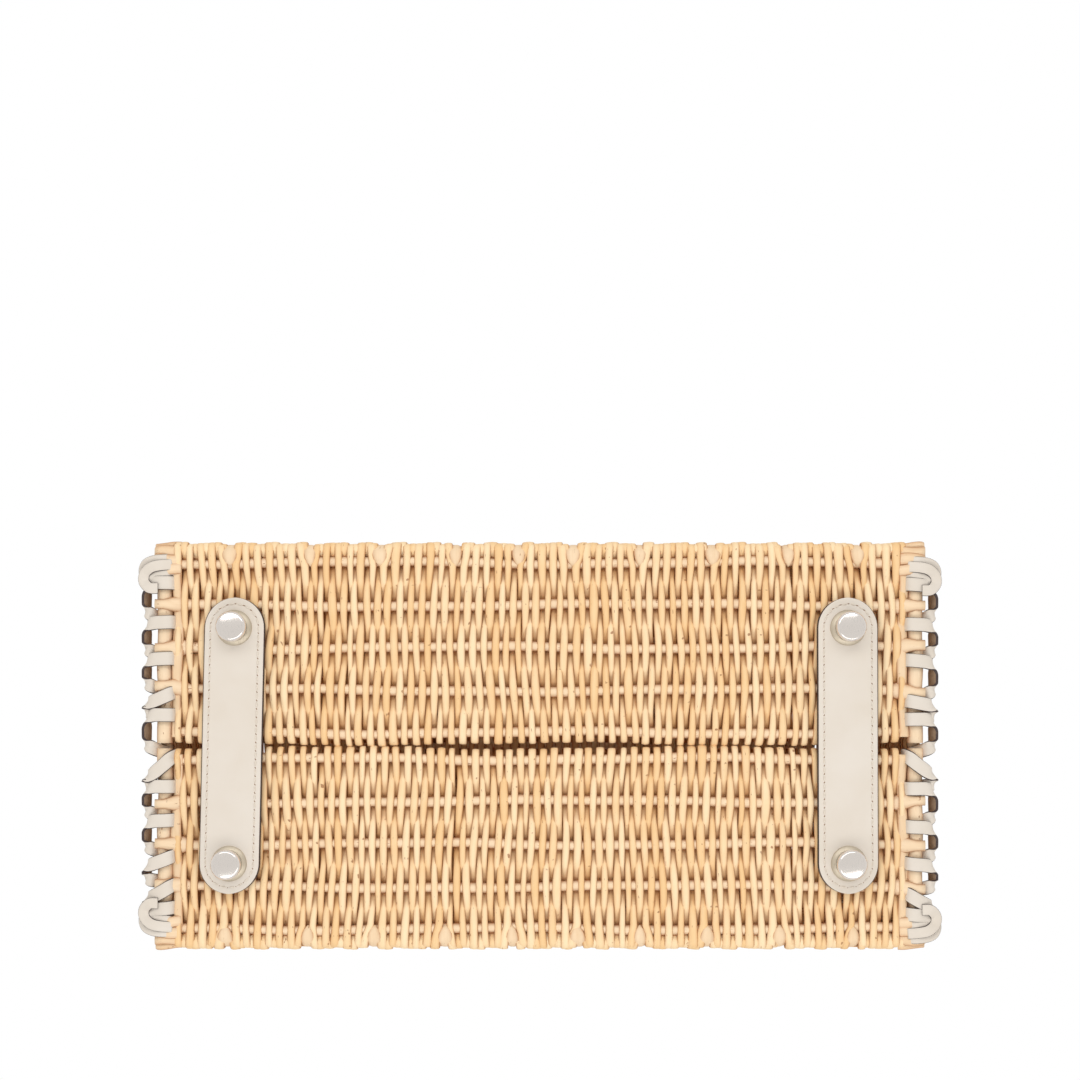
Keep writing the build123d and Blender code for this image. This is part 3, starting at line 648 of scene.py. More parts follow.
def baseHalf(frontBack, way, seed):
    look = baseLook
    net = Gather()
    panel = Panel((0, 0, baseMiddle), (0, 1, 0), (1, 0, 0), seed)
    rods = [way * place for place in look["stakeAt"]][::way]
    ends = [(way * 1.0, "turn"), (way * halfDepth, "edge")][::way]
    knobs = [(place, way * halfDepth, look["knobReach"]) for place in wallStakePlaces(way)]
    split = {**weaveLook, "turnReach": look["splitReach"]}
    weave(net, panel, split, rods, -panelLength + 1, panelLength - 1, ends, knobs)
    for i, rod in enumerate(rods):
        # the outer two stakes end inside the frame rod, the others pass over it and end flat
        over = 0 < i < len(rods) - 1
        reach = look["stakeReach"] if over else panelLength - 0.5
        t = np.linspace(-reach, reach, 90)
        ease = over * eased(np.clip((abs(t) - panelLength + 5) / 7, 0, 1))
        flare = over * np.exp(-(((abs(t) - panelLength + 2.5) / 3.0) ** 2))
        lean = 1.2 * math.sin(2.3 * i + seed)
        s = stakeLine(weaveLook, rod, i, seed, t) + lean * ease * np.sign(t)
        proud = look["stakeProud"] * np.clip((panelLength - 4 - abs(t)) / 6, 0, 1)
        centre = panel.at(s, t, proud + 0.1 * np.sin(t * 0.4 + i) + 3.5 * ease)
        wide = look["stakeRadius"] * (1 + 0.06 * np.sin(t * 0.13 + 2 * i) + 0.9 * flare)
        thin = look["stakeRadius"] * (1 - 0.62 * ease)
        sweep(net, centre, panel.along, wide, thin, roundSection(10), 1, 0.3, 11.0 * i + seed)
    # a last broad strand beside each frame rod, under the flared ends of the stakes
    for end in (-1, 1):
        s = np.linspace(way * 4.0, way * 85.0, 60)
        t = end * (panelLength - 1.9) + 0.5 * np.sin(s * 0.09 + end + seed)
        centre = panel.at(s, t, 1.5 + 0.7 * np.cos(s * math.pi / look["stakeEvery"]))
        wide = 2.3 * (1 + 0.12 * np.sin(s * 0.13 + seed))
        sweep(net, centre, panel.across, wide, 0.7, roundSection(10, 0.8), 1, 0.6, 40.0 + end)
    # the ends of the wall stakes, turned in under the edge
    share = np.linspace(0, 1, 9)
    shape = {key: np.interp(share, *rows) for key, rows in knobLook.items()}
    for i, x in enumerate(wallStakePlaces(way)):
        big = 1 + 0.14 * math.sin(3.7 * i + seed)
        aside = x + 0.6 * share * math.sin(i)
        centre = np.stack([aside, way * shape["depth"], shape["height"]], 1)
        sweep(net, centre, (1, 0, 0), shape["wide"] * big, shape["thin"], roundSection(10), 1, 0.45, 7.0 * i)
    replaced = [frontBack + "_base_weave", frontBack + "_base_stakes"]
    net.build(frontBack + "BaseWicker", wicker, "body", "willow_weave", replaced)


baseHalf("front", -1, 1)
baseHalf("back", 1, 2)
print("base woven")

# walls and lid, beaten closer than the base
denseLook = {**weaveLook, "broad": 1.92, "crossing": 1.72, "stray": 0.18}
wallLook = {"stakeRadius": 2.2, "sideStakeEvery": 28.0, "top": 226.6, "rimHigh": 3.6, "rimSize": 1.9}
wallLow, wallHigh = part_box("back_wall_weave")
wallMiddle = (wallLow.y + wallHigh.y) / 2 / mm
wallBottom = wallLow.z / mm
sideLow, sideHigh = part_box("right_side_weave")
sideMiddle = (sideLow.x + sideHigh.x) / 2 / mm
sideDepth = sideHigh.y / mm


def rim(net, panel, half):
    # two rods twisted round each other along the top edge
    t = np.linspace(-half, half, int(half * 0.9))
    ease = np.clip((half - abs(t)) / 3 + 0.5, 0.5, 1)
    size = wallLook["rimSize"]
    for turn in (0, math.pi):
        angle = t * 0.42 + turn + panel.seed
        centre = panel.at(t, wallLook["top"] - 2.1 + 0.75 * np.sin(angle), 1.5 * np.cos(angle))
        sweep(net, centre, panel.across, size * ease, size * 0.8 * ease, roundSection(8), 1, 0.4, 60.0 + turn)


def wall(sideName, kind, panel, half, bottom, rods):
    net = Gather()
    top = wallLook["top"] - wallLook["rimHigh"]
    weave(net, panel, denseLook, rods, bottom, top, [(-half, "edge"), (half, "edge")], sides=6, steps=6)
    size = wallLook["stakeRadius"]
    for i, rod in enumerate(rods):
        t = np.linspace(bottom, top - 1.5, 44)
        centre = panel.at(stakeLine(weaveLook, rod, i, panel.seed, t), t, 0.1 * np.sin(t * 0.3 + i))
        sweep(net, centre, panel.along, size, size, roundSection(8), 1, 0.3, 13.0 * i)
    rim(net, panel, half - 1)
    node = f"{sideName}_{kind.lower()}_"
    net.build(sideName + kind + "Wicker", wicker, "body", "willow_weave", [node + "weave", node + "stakes"])


sideRods = [wallLook["sideStakeEvery"] * (i - 2) for i in range(5)]
for sideName, way, seed in (("front", -1, 3), ("back", 1, 4)):
    rods = [-way * place for place in wallStakePlaces(way)][::-way]
    panel = Panel((0, way * wallMiddle, 0), (-way, 0, 0), (0, 0, 1), seed)
    wall(sideName, "Wall", panel, panelLength, wallBottom, rods)
for sideName, way, seed in (("left", -1, 5), ("right", 1, 6)):
    panel = Panel((way * sideMiddle, 0, 0), (0, way, 0), (0, 0, 1), seed)
    wall(sideName, "Side", panel, sideDepth, wallBottom + 0.6, sideRods)
print("walls woven")

lidLook = {"stakeEvery": 21.5, "stakeRadius": 2.1}
lidLow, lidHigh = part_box("lid_weave")


def lid(look):
    net = Gather()
    panel = Panel((0, 0, (lidLow.z + lidHigh.z) / 2 / mm), (0, 1, 0), (-1, 0, 0), 7)
    rods = [look["stakeEvery"] * (i - 4) for i in range(9)]
    reach = panelLength - 0.5
    ends = [(-halfDepth, "turn"), (halfDepth, "turn")]
    weave(net, panel, denseLook, rods, -reach, reach, ends, sides=6, steps=6)
    for i, rod in enumerate(rods):
        t = np.linspace(-reach, reach, int(2 * reach / 5))
        centre = panel.at(stakeLine(weaveLook, rod, i, panel.seed, t), t, 0.12 * np.sin(t * 0.4 + i))
        wide = look["stakeRadius"] * (1 + 0.06 * np.sin(t * 0.13 + 2 * i))
        sweep(net, centre, panel.along, wide, wide, roundSection(10), 1, 0.25, 11.0 * i + panel.seed)
    net.build("lidWicker", wicker, "lid", "willow_weave", ["lid_weave", "lid_stakes"])


lid(lidLook)
print("lid woven")


def smooth(points, steps=7):
    # a soft line through rows of numbers
    points = np.array(points, float)
    padded = np.concatenate([2 * points[:1] - points[1:2], points, 2 * points[-1:] - points[-2:-1]])
    share = np.arange(steps)[:, None] / steps
    rows = []
    for a, b, c, d in zip(padded, padded[1:], padded[2:], padded[3:]):
        slope, bend, twist = c - a, 2 * a - 5 * b + 4 * c - d, 3 * b - a - 3 * c + d
        rows.append(0.5 * (2 * b + slope * share + bend * share**2 + twist * share**3))
    rows.append(points[-1:])
    return np.concatenate(rows)


# the rods of the frame, and the flat strands bound round them at the corners
frameLook = {
    "x": 171.25,
    "y": 88.75,
    "lidHigh": 231.25,
    "radius": 3.6,
    "flat": 0.95,
    "bend": 12.0,
    "bandWide": 4.4,
    "bandThick": 0.7,
    # each band is (on the upright, place, lean)
    "bands": [
        (0, 78.5, 0.0), (0, 82.6, 0.25), (1, 34.5, -0.1),
        (1, 38.5, 0.2), (1, 221.5, 0.1), (1, 225.2, 0.0),
    ],
    # each strip is (place, up, half its width)
    "strips": [(80.2, 0.0, 2.5), (84.6, 0.25, 2.7), (88.4, 0.8, 2.3), (91.0, 2.4, 1.7)],
    "stripOut": [163.5, 166.5, 169.5, 172.8, 175.2, 175.9, 175.6],
    "stripHigh": [13.0, 11.9, 11.5, 11.7, 13.4, 17.0, 22.5],
}


def pathThrough(points, bend, step=3.0):
    # straight runs with round corners of one radius
    points = [np.array(point, float) for point in points]
    line = [points[0]]
    for before, here, after in zip(points, points[1:], points[2:]):
        enter = here + (before - here) / np.linalg.norm(before - here) * bend
        leave = here + (after - here) / np.linalg.norm(after - here) * bend
        line.append(enter)
        for share in np.linspace(0.12, 0.88, 7):
            arc = (1 - share) ** 2 * enter + 2 * share * (1 - share) * here + share**2 * leave
            middle = enter + leave - here
            reach = np.linalg.norm(enter - middle)
            line.append(middle + (arc - middle) / np.linalg.norm(arc - middle) * reach)
        line.append(leave)
    line.append(points[-1])
    dense = [line[0]]
    for start, stop in zip(line, line[1:]):
        pieces = max(1, int(np.linalg.norm(stop - start) / step))
        dense.extend(start + (stop - start) * (i + 1) / pieces for i in range(pieces))
    return np.array(dense)


def frameRod(frontBack, way, sideName, outward):
    look = frameLook
    node = f"{frontBack}_{sideName}_frame_rod"
    net = Gather()
    low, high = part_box(node)
    x, rodY, rodZ = outward * look["x"], look["y"], low.z / mm + 3.75
    corners = [(x, way * 1.2, rodZ + 0.35), (x, way * rodY, rodZ), (x, way * rodY, high.z / mm)]
    line = pathThrough(corners, look["bend"])
    line[:, 0] += 0.25 * np.sin(np.arange(len(line)) * 0.5 + x)
    radius = look["radius"] * (1 + 0.03 * np.sin(np.arange(len(line)) * 0.7))
    sweep(net, line, (1, 0, 0), radius, radius * look["flat"], roundSection(14), 1, 0.15, x)
    # bands round the rod: two at the corner of the base, a few more up the corner
    turn = np.linspace(0.15, 2 * math.pi - 0.15, 22)[:, None] + math.pi / 2
    right, back, up = np.eye(3)
    for i, (upright, place, lean) in enumerate(look["bands"]):
        first, second, axis = (right, back, up) if upright else (up, right, back)
        middle = (x, way * rodY, place) if upright else (x, way * place, rodZ)
        ring = middle + (look["radius"] + 0.42) * (np.cos(turn) * first + np.sin(turn) * second)
        ring = ring + axis * (lean * 1.6 * np.sin(turn + i)) * outward
        band = look["bandWide"] * (0.44 + 0.06 * math.sin(4 * i + x))
        sweep(net, ring, axis, band, look["bandThick"] / 2, roundSection(8, 0.6), 1, 0.5, 3.0 * i)
    # flat strips folded over the corner, from the base round to the side
    for i, (place, rise, half) in enumerate(look["strips"]):
        out, height = np.array(look["stripOut"]) * outward, np.array(look["stripHigh"]) + rise
        fold = smooth(np.stack([out, np.full(len(out), way * place), height], 1), 5)
        fold[:, 1] += 0.5 * np.sin(np.arange(len(fold)) * 0.2 + 2 * i + x)
        sweep(net, fold, (0, 1, 0), half, 0.45, roundSection(8, 0.6), 1, 0.3 + 0.15 * i, 5.0 * i)
    net.build(frontBack + sideName.title() + "FrameRod", wicker, "body", "willow_stake", [node])


def lidRod(sideName, outward):
    x = outward * frameLook["x"]
    net = Gather()
    y = np.linspace(-91.8, 91.8, 60)
    line = np.stack([x + 0.25 * np.sin(y * 0.08 + x), y, np.full(len(y), frameLook["lidHigh"])], 1)
    radius = frameLook["radius"] * np.interp(abs(y), [0, 90, 91.8], [1, 1, 0.72])
    sweep(net, line, (1, 0, 0), radius, radius, roundSection(14), 1, 0.2, x)
    node = f"lid_{sideName}_end_rod"
    net.build(f"lid{sideName.title()}Rod", wicker, "lid", "willow_stake", [node])


frontAndBack = (("front", -1), ("back", 1))
leftAndRight = (("left", -1), ("right", 1))
for frontBack, way in frontAndBack:
    for sideName, outward in leftAndRight:
        frameRod(frontBack, way, sideName, outward)
for sideName, outward in leftAndRight:
    lidRod(sideName, outward)
print("frame rods made")

# leather laces whipped round the frame rods
laceLook = {"wide": 3.15, "thick": 0.72, "over": 4.55, "run": 8.3, "hole": 4.7, "knotWide": 0.8}


ribbonHalf = [(1, -0.35), (1, 0.45), (0.93, 0.9), (0.5, 1)]
ribbonMirror = [(-wide, high) for wide, high in ribbonHalf[::-1]]
ribbonSection = np.array(ribbonHalf + ribbonMirror + [(-0.9, -1), (0.9, -1)])
ribbonKinds = np.array([1, 1, 0, 0, 0, 1, 1, 1, 2, 1])


def ribbon(net, rows, wide, thick, stand, steps=7):
    # rows are out, normal, along, then the three parts of the width direction
    origin, out, normal, along = (np.array(part, float) for part in stand)
    line = smooth(rows, steps)
    spread = np.diff(line[:, :3], axis=0, prepend=line[:1, :3])
    keep = np.linalg.norm(spread, axis=1) > 0.05
    keep[0] = True
    line = line[keep]
    basis = np.stack([out, normal, along])
    centre = origin + line[:, :3] @ basis
    side = unit(line[:, 3:6]) @ basis
    side = -side if np.linalg.det(basis) < 0 else side
    part = Gather()
    sweep(part, centre, side, wide, thick, ribbonSection, ribbonKinds)
    net.add(part.points[0], part.quads[0], part.kinds[0])


# the end of a lace: (out, above the bands, past the last stitch) along each turn
knotTurns = [
    [(-4.5, -2.5, 6.0), (-1, -0.3, 5.2), (3.5, -0.5, 3.6), (7.2, -1.6, 1.4), (9.2, -4.0, -0.4)],
    [(-4.5, -2.5, 10.6), (0, -0.3, 10.4), (5, -0.8, 9.8), (8.2, -2.2, 8.2), (9.4, -3.8, 5.2), (8.6, -5, 2)],
    [
        (2, 0.7, -2.6), (5.8, 0.9, -2.4), (8.6, -0.6, 0.6), (8.2, -0.6, 4.2),
        (5, 0.7, 6.8), (1, 0.7, 7.8), (-4, -1, 8.4),
    ],
]


def facing(line):
    # width directions that keep the face of a lace towards the normal
    way = np.gradient(line, axis=0)
    side = np.stack([way[:, 2], 0 * way[:, 0], -way[:, 0]], 1)
    return np.concatenate([line, unit(side)], 1)


def lacing(name, stand, stitches, body, node, ends=False):
    # stitches is a list of (place, slant); the lace runs on from each to the next
    look = laceLook
    net = Gather()
    flat, edge, bent, turned = (0, 0, -1), (-0.36, -0.93, 0), (-0.15, -0.9, -0.5), (0, 0, 1)
    hole, over, run = look["hole"], look["over"], look["run"]
    for i, (place, slant) in enumerate(stitches):
        last = i == len(stitches) - 1
        ahead = place + 9 if last else stitches[i + 1][0] - stitches[i + 1][1] / 2
        low, high = place - slant / 2, place + slant / 2
        gap = max(ahead - high, 6.0)
        rows = [
            (-hole, -3.6, low, *flat),
            (-hole + 0.1, 0.6, low, *flat),
            (-hole + 1.1, over - 0.7, low + 0.10 * slant, *flat),
            (-0.6, over + 0.25, low + 0.45 * slant, *flat),
            (3.8, over - 0.5, low + 0.85 * slant, *flat),
            (run - 1.9, over - 1.7, high + 0.05 * gap, 0, -0.3, -1),
            (run - 0.5, 1.7, high + 0.15 * gap, *bent),
            (run - 0.1, 0.9, high + 0.30 * gap, *edge),
            (run, 0.7, high + 0.47 * gap, *edge),
            (run - 0.1, 0.9, high + 0.60 * gap, -0.3, -0.85, 0.3),
            (run - 0.6, 1.7, high + 0.71 * gap, -0.1, -0.3, 0.95),
            (run - 2.8, 1.6, high + 0.81 * gap, *turned),
            (run - 5.4, -1.2, high + 0.88 * gap, *turned),
            (-0.5, -4.6, high + 0.95 * gap, *turned),
        ]
        ribbon(net, rows, look["wide"], look["thick"], stand, 6)
    if ends:
        # the last turns at both ends, tucked over each other
        for place, way in ((stitches[0][0], -1), (stitches[-1][0], 1)):
            for points in knotTurns:
                out, height, along = np.array(points, float).T
                line = np.stack([out, over + height, place + way * along], 1)
                ribbon(net, facing(line), look["wide"] * look["knotWide"], look["thick"], stand)
    net.build(name, [leather, edgePaint, flesh], body, "lace_leather", [node])


# each stitch is (place, slant)
laceStitches = {
    "left": [
        (-74, 0), (-56, 0.5), (-39.5, 0.5), (-22, 4.5), (-14, 0), (9, 9),
        (18.5, 0), (34, 0.5), (52, 4), (66, 6), (74, 1),
    ],
    "right": [
        (-73, 1), (-55, 0.5), (-38.5, 1), (-19.5, 2), (-12, 0), (8.5, 8),
        (19.5, 0), (37, 0.5), (54, 1), (70, 6), (77, 1),
    ],
    "corner": [
        (42.0, 1), (60, 0.5), (78.5, 2), (95, 0.5), (113, 1),
        (131, 2.5), (148, 0.5), (166, 1), (184, 2), (201, 0.5),
    ],
    "lid": [(-73, 1), (-56, 1), (-39, 2), (-21, 1), (-4, 2), (14, 1), (32, 2), (50, 1), (66, 2), (75, 1)],
}

for sideName, way in leftAndRight:
    x, y = way * frameLook["x"], frameLook["y"]
    outward, along = (way, 0, 0), (0, 1, 0)
    stand = ((x, 0, baseMiddle + 0.25), outward, (0, 0, -1), along)
    lacing(sideName + "BaseLace", stand, laceStitches[sideName], "body", sideName + "_base_lace", True)
    stand = ((x, 0, frameLook["lidHigh"]), outward, (0, 0, 1), along)
    lacing(f"lid{sideName.title()}Lace", stand, laceStitches["lid"], "lid", f"lid_{sideName}_lace")
    for frontBack, face in frontAndBack:
        name, node = frontBack + sideName.title() + "CornerLace", f"{frontBack}_{sideName}_corner_lace"
        stand = ((x, face * y, 0), outward, (0, face, 0), (0, 0, 1))
        lacing(name, stand, laceStitches["corner"], "body", node)
print("laces made")

# leather straps: a face, painted edges and a rough back, with stitches along the border
strapFinish = [leather, edgePaint, flesh, thread, holeShade]
stitchLook = {"pitch": 3.8, "inset": 2.9, "long": 2.6, "wide": 0.36, "hole": 0.46}


class Strap:
    def __init__(self, line, side, wide, thick, round=(0, 0), face=None):
        # line runs along the middle; face is how far the surface swells, by place across and along
        self.line = np.array(line, float)
        self.side = np.array(side, float)
        step = np.linalg.norm(np.diff(self.line, axis=0), axis=1)
        self.run = np.concatenate([[0], np.cumsum(step)])
        self.length = self.run[-1]
        self.wide = wide / 2
        self.thick = thick
        self.round = round
        self.face = face or (lambda across, along: 0 * across * along)
        along = unit(np.gradient(self.line, axis=0))
        self.up = unit(np.cross(along, self.side))

    def at(self, along, across, above):
        along, across, above = np.broadcast_arrays(along, across, above)
        place = np.stack([np.interp(along, self.run, self.line[:, i]) for i in range(3)], -1)
        up = unit(np.stack([np.interp(along, self.run, self.up[:, i]) for i in range(3)], -1))
        return place + across[..., None] * self.side + above[..., None] * up

    def half(self, along, inset=0.0):
        # half the width at a place along the strap
        half = np.full(np.shape(along), self.wide - inset)
        for corner, near in ((self.round[0], along), (self.round[1], self.length - along)):
            if corner:
                corner = corner - inset
                short = np.clip(corner - (near - inset), 0, corner)
                half = half - corner + np.sqrt(np.maximum(corner**2 - short**2, 0))
        return half

    def rows(self):
        places = list(np.linspace(0, self.length, max(3, int(self.length / 2.4))))
        for corner, back in ((self.round[0], False), (self.round[1], True)):
            if corner:
                near = list(corner * (1 - np.cos(np.linspace(0.04, math.pi / 2, 14))))
                places = [p for p in places if (self.length - p if back else p) > corner]
                places += [self.length - p for p in near] if back else near
        return np.array(sorted(set(np.round(places, 4))))

    def solid(self, net):
        along = self.rows()
        half = np.maximum(self.half(along), 0.3)
        t = self.thick / 2
        edge = np.minimum(0.8, half * 0.6)
        across = [-half, -half, -half + 0.55 * edge]
        above = [-0.45 * t, 0.5 * t, 0.88 * t]
        for share in np.linspace(-1, 1, 15):
            across.append((half - edge) * share)
            above.append(t)
        across += [half - 0.55 * edge, half, half, half - 0.4, -half + 0.4]
        above += [0.88 * t, 0.5 * t, -0.45 * t, -t, -t]
        across = np.stack([np.broadcast_to(a, along.shape) for a in across], 1)
        above = np.stack([np.broadcast_to(a, along.shape) for a in above], 1)
        swell = self.face(across, along[:, None])
        above = above + np.where(above > 0.7 * t, swell, 0)
        points = self.at(along[:, None], across, above)
        rows, sides = points.shape[:2]
        kind = np.zeros(sides, int)  # the face, but for the painted edges and the rough back
        kind[[0, 1, 18, 19, 20, 22]] = 1
        kind[21] = 2
        walls, lids = tube(rows, sides, True)
        kindRows = np.broadcast_to(kind, (rows - 1, sides)).reshape(-1)
        kinds = np.concatenate([kindRows, np.full(len(lids), 1)])
        net.add(points.reshape(-1, 3), np.concatenate([walls, lids]), kinds)

    def stitchPlaces(self, inset):
        # places round the border, a line of (along, across, direction)
        along = np.linspace(inset + 0.01, self.length - inset - 0.01, 400)
        half = self.half(along, inset)
        if not self.round[0]:
            along, half = along[along > inset], half[along > inset]
        right = np.stack([along, half], 1)
        left = np.stack([along[::-1], -half[::-1]], 1)
        if not self.round[1]:
            return [right, left[::-1]]
        return [np.concatenate([right, left, right[:1]] if self.round[0] else [right, left])]

    def stitch(self, net):
        look = stitchLook
        for walk in self.stitchPlaces(look["inset"]):
            run = np.concatenate([[0], np.cumsum(np.linalg.norm(np.diff(walk, axis=0), axis=1))])
            count = int(run[-1] / look["pitch"])
            places = ((np.arange(count) + 0.5) * run[-1] / count)[:, None]

            def strands(reach, aside, rise, wide, thick, kind):
                along, across = (np.interp(reach, run, walk[:, i]) for i in (0, 1))
                across = across + aside
                top = self.thick / 2 + rise + self.face(across, along)
                centre = self.at(along, across, top)
                upward = self.at(along, across, top + 1) - centre
                side = unit(np.cross(unit(np.gradient(centre, axis=1)), upward)[:, 2:3])
                sweep(net, centre, -side, wide, thick, roundSection(6), kind)

            rise = np.array([-0.25, 0.06, 0.16, 0.16, 0.06, -0.25])
            wide = look["wide"] * np.array([0.7, 1, 1.05, 1.05, 1, 0.7])
            strands(places + look["long"] * np.linspace(-0.5, 0.5, 6), 0, rise, wide, wide * 0.8, 3)
            # the needle holes at both ends of each stitch, flat dark discs: painted shade for holes that are
            # not cut
            reach = places + look["pitch"] / 2 + np.array([-0.9, -0.55, 0.0, 0.55, 0.9]) * look["hole"]
            aside = 0.25 * np.array([-1, -0.6, 0, 0.6, 1])
            wide = look["hole"] * 0.75 * np.array([0.3, 0.85, 1, 0.85, 0.3])
            strands(reach, aside, -0.05, wide, 0.12, 4)

    def build(self, name, body, nodes):
        net = Gather()
        self.solid(net)
        self.stitch(net)
        return net.build(name, strapFinish, body, "strap_leather", nodes)


footPlace = {"x": 139.5, "y": 53.34}
baseStrapLook = {"thick": 2.6, "lean": {"left": -0.022, "right": 0.003}, "swell": 0.45}


def baseStrap(sideName):
    low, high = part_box(sideName + "_base_strap")
    middle, wide, reach = (low.x + high.x) / 2 / mm, (high.x - low.x) / mm, high.y / mm
    lean = baseStrapLook["lean"][sideName]
    top = low.z / mm + 0.2
    y = np.linspace(-reach, reach, 60)
    footY = footPlace["y"]

    def face(across, along):
        place = along - reach
        away = np.minimum(np.hypot(across, place - footY), np.hypot(across, place + footY))
        ring = baseStrapLook["swell"] * np.exp(-(((away - 8.8) / 1.5) ** 2))
        return ring + 0.12 * np.cos(across * math.pi / wide) + 0.06 * np.sin(place * 0.11 + across * 0.2)

    line = np.stack([middle + lean * y, y, np.full(60, top + baseStrapLook["thick"] / 2)], 1)
    strap = Strap(line, (1, 0, 0), wide, baseStrapLook["thick"], (wide / 2, wide / 2), face)
    strap.build(sideName + "BaseStrap", "body", [sideName + "_base_strap"])


for sideName, outward in leftAndRight:
    baseStrap(sideName)
print("base straps made")


def turned(net, profile, origin, axis, kind=0, segments=56):
    # a solid of revolution; profile is (radius, height) from the axis out and back to it
    axis = np.array(axis, float)
    first = unit(np.cross(axis, [0.31, 0.87, 0.41]))
    second = np.cross(axis, first)
    angle = np.arange(segments) / segments * 2 * math.pi
    spoke = np.cos(angle)[:, None] * first + np.sin(angle)[:, None] * second
    profile = np.array(profile, float)
    radius, height = profile.T[:, :, None, None]
    points = np.array(origin, float) + height * axis + np.maximum(radius, 0.05) * spoke
    net.add(points.reshape(-1, 3), np.concatenate(tube(len(profile), segments)), kind)


def bevelled(profile, cut=0.18):
    # each inner corner of the profile becomes two close ones, so that smooth shading keeps the edge
    rows = [profile[0]]
    for before, here, after in zip(profile, profile[1:], profile[2:]):
        here, before, after = np.array(here, float), np.array(before, float), np.array(after, float)
        a = min(cut, np.linalg.norm(before - here) * 0.3)
        b = min(cut, np.linalg.norm(after - here) * 0.3)
        rows += [tuple(here + unit(before - here) * a), tuple(here + unit(after - here) * b)]
    return rows + [profile[-1]]


footLook = {
    "flange": [(0, 0.6), (8.1, 0.6), (8.1, -0.4), (7.8, -0.75), (6.3, -1.6), (0, -1.7)],
    "disc": [
        (0, -1.0), (6.15, -1.0), (6.15, -5.9), (6.8, -6.4), (6.8, -7.9), (5.75, -8.85), (0, -8.95),
    ],
}


def foot(frontBack, way, sideName, outward):
    node = f"{frontBack}_{sideName}_foot"
    y = way * footPlace["y"]
    base = (outward * footPlace["x"] + baseStrapLook["lean"][sideName] * y, y, 9.0)
    net = Gather()
    # the flange takes the warmer metal, a painted reflection of the shaded leather above it
    turned(net, bevelled(footLook["flange"][::-1]), base, (0, 0, 1), 1)
    turned(net, bevelled(footLook["disc"][::-1]), base, (0, 0, 1), 0)
    net.build(frontBack + sideName.title() + "Foot", [metal, flangePaintedReflection], "body", "polished_metal", [node])


for frontBack, way in frontAndBack:
    for sideName, outward in leftAndRight:
        foot(frontBack, way, sideName, outward)
print("feet made")

hingeLook = {
    "wide": 27.5,
    "thick": 2.4,
    # the outline of the fold, as (y, z), from the wall to the lid
    "fold": [(94.0, 226.0), (94.1, 230.0), (92.6, 234.2), (88.6, 236.0), (84.0, 236.1)],
    "lidHigh": 236.05,
    "bendStart": (0.0945, 0.2215),
    "bendEnd": (0.0915, 0.2350),
}


def hingeStrap(sideName):
    look = hingeLook
    nodes = [sideName + "_hinge_strap_on_wall", sideName + "_hinge_strap_on_lid"]
    low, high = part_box(nodes[0])
    x = (low.x + high.x) / 2 / mm
    line = smooth([(x, y, z) for y, z in look["fold"]], 8)
    up = np.linspace((x, look["fold"][0][0], low.z / mm), line[0], 22)[:-1]
    over = np.linspace(line[-1], (x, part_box(nodes[1])[0].y / mm, look["lidHigh"]), 18)[1:]
    line = np.concatenate([up, line, over])
    strap = Strap(line, (1, 0, 0), look["wide"], look["thick"], (look["wide"] / 2,) * 2)
    piece = strap.build(sideName + "HingeStrap", None, nodes)
    start, end = ((x * mm, *look[key]) for key in ("bendStart", "bendEnd"))
    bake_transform(piece)
    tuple(start)
    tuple(end)


for sideName, outward in leftAndRight:
    hingeStrap(sideName)
print("hinge straps made")

tabLook = {
    "wide": 30.0,
    "thick": 2.2,
    "foldY": -94.9,
    "foldZ": 231.5,
    "long": 72.0,
    "lean": 6.284,
    "slotAt": 58.0,
    "slotLong": 17.8,
    "slotWide": 7.8,
    "slotCorner": 1.6,
    "lidHigh": 235.8,
    "bendStart": (0, -0.0905, 0.2352),
    "bendEnd": (0, -0.0956, 0.2285),
}


def cutSlot(piece, middle, direction, long, wide):
    # a slot with rounded corners through the leather, its wall in the edge paint
    net = Gather()
    direction = np.array(direction, float)
    angle = np.arange(24) / 24 * 2 * math.pi
    corner = tabLook["slotCorner"]
    x = np.clip(np.cos(angle) * 9, -1, 1) * (long / 2 - corner) + np.cos(angle) * corner
    z = np.clip(np.sin(angle) * 9, -1, 1) * (wide / 2 - corner) + np.sin(angle) * corner
    across = np.cross(direction, (1, 0, 0))
    outline = x[:, None] * np.array([1.0, 0, 0]) + z[:, None] * direction
    points = [middle + push * across + outline for push in (-6, 6)]
    here = np.arange(24)
    walls = np.stack([here + 24, (here + 1) % 24 + 24, (here + 1) % 24, here], 1)
    lids = []
    for a in range(11):
        lid = np.array([a, a + 1, 22 - a, 23 - a])
        lids += [lid, 24 + lid[::-1]]
    net.add(np.concatenate(points), np.concatenate([walls, lids]), 1)
    cutter = net.build("slotCutter", strapFinish, "lid", "strap_leather")
    bpy.context.view_layer.update()
    cut = piece.modifiers.new("slot", "BOOLEAN")
    cut.operation = "DIFFERENCE"
    cut.solver = "EXACT"
    cut.object = cutter
    bpy.context.view_layer.update()
    solid = piece.evaluated_get(bpy.context.evaluated_depsgraph_get())
    fresh = bpy.data.meshes.new_from_object(solid)
    piece.modifiers.clear()
    cutMesh = bmesh.new()
    cutMesh.from_mesh(fresh)
    bmesh.ops.triangulate(cutMesh, faces=[face for face in cutMesh.faces if len(face.verts) > 4])
    cutMesh.to_mesh(fresh)
    cutMesh.free()
    piece.data = fresh
    bpy.data.objects.remove(cutter)


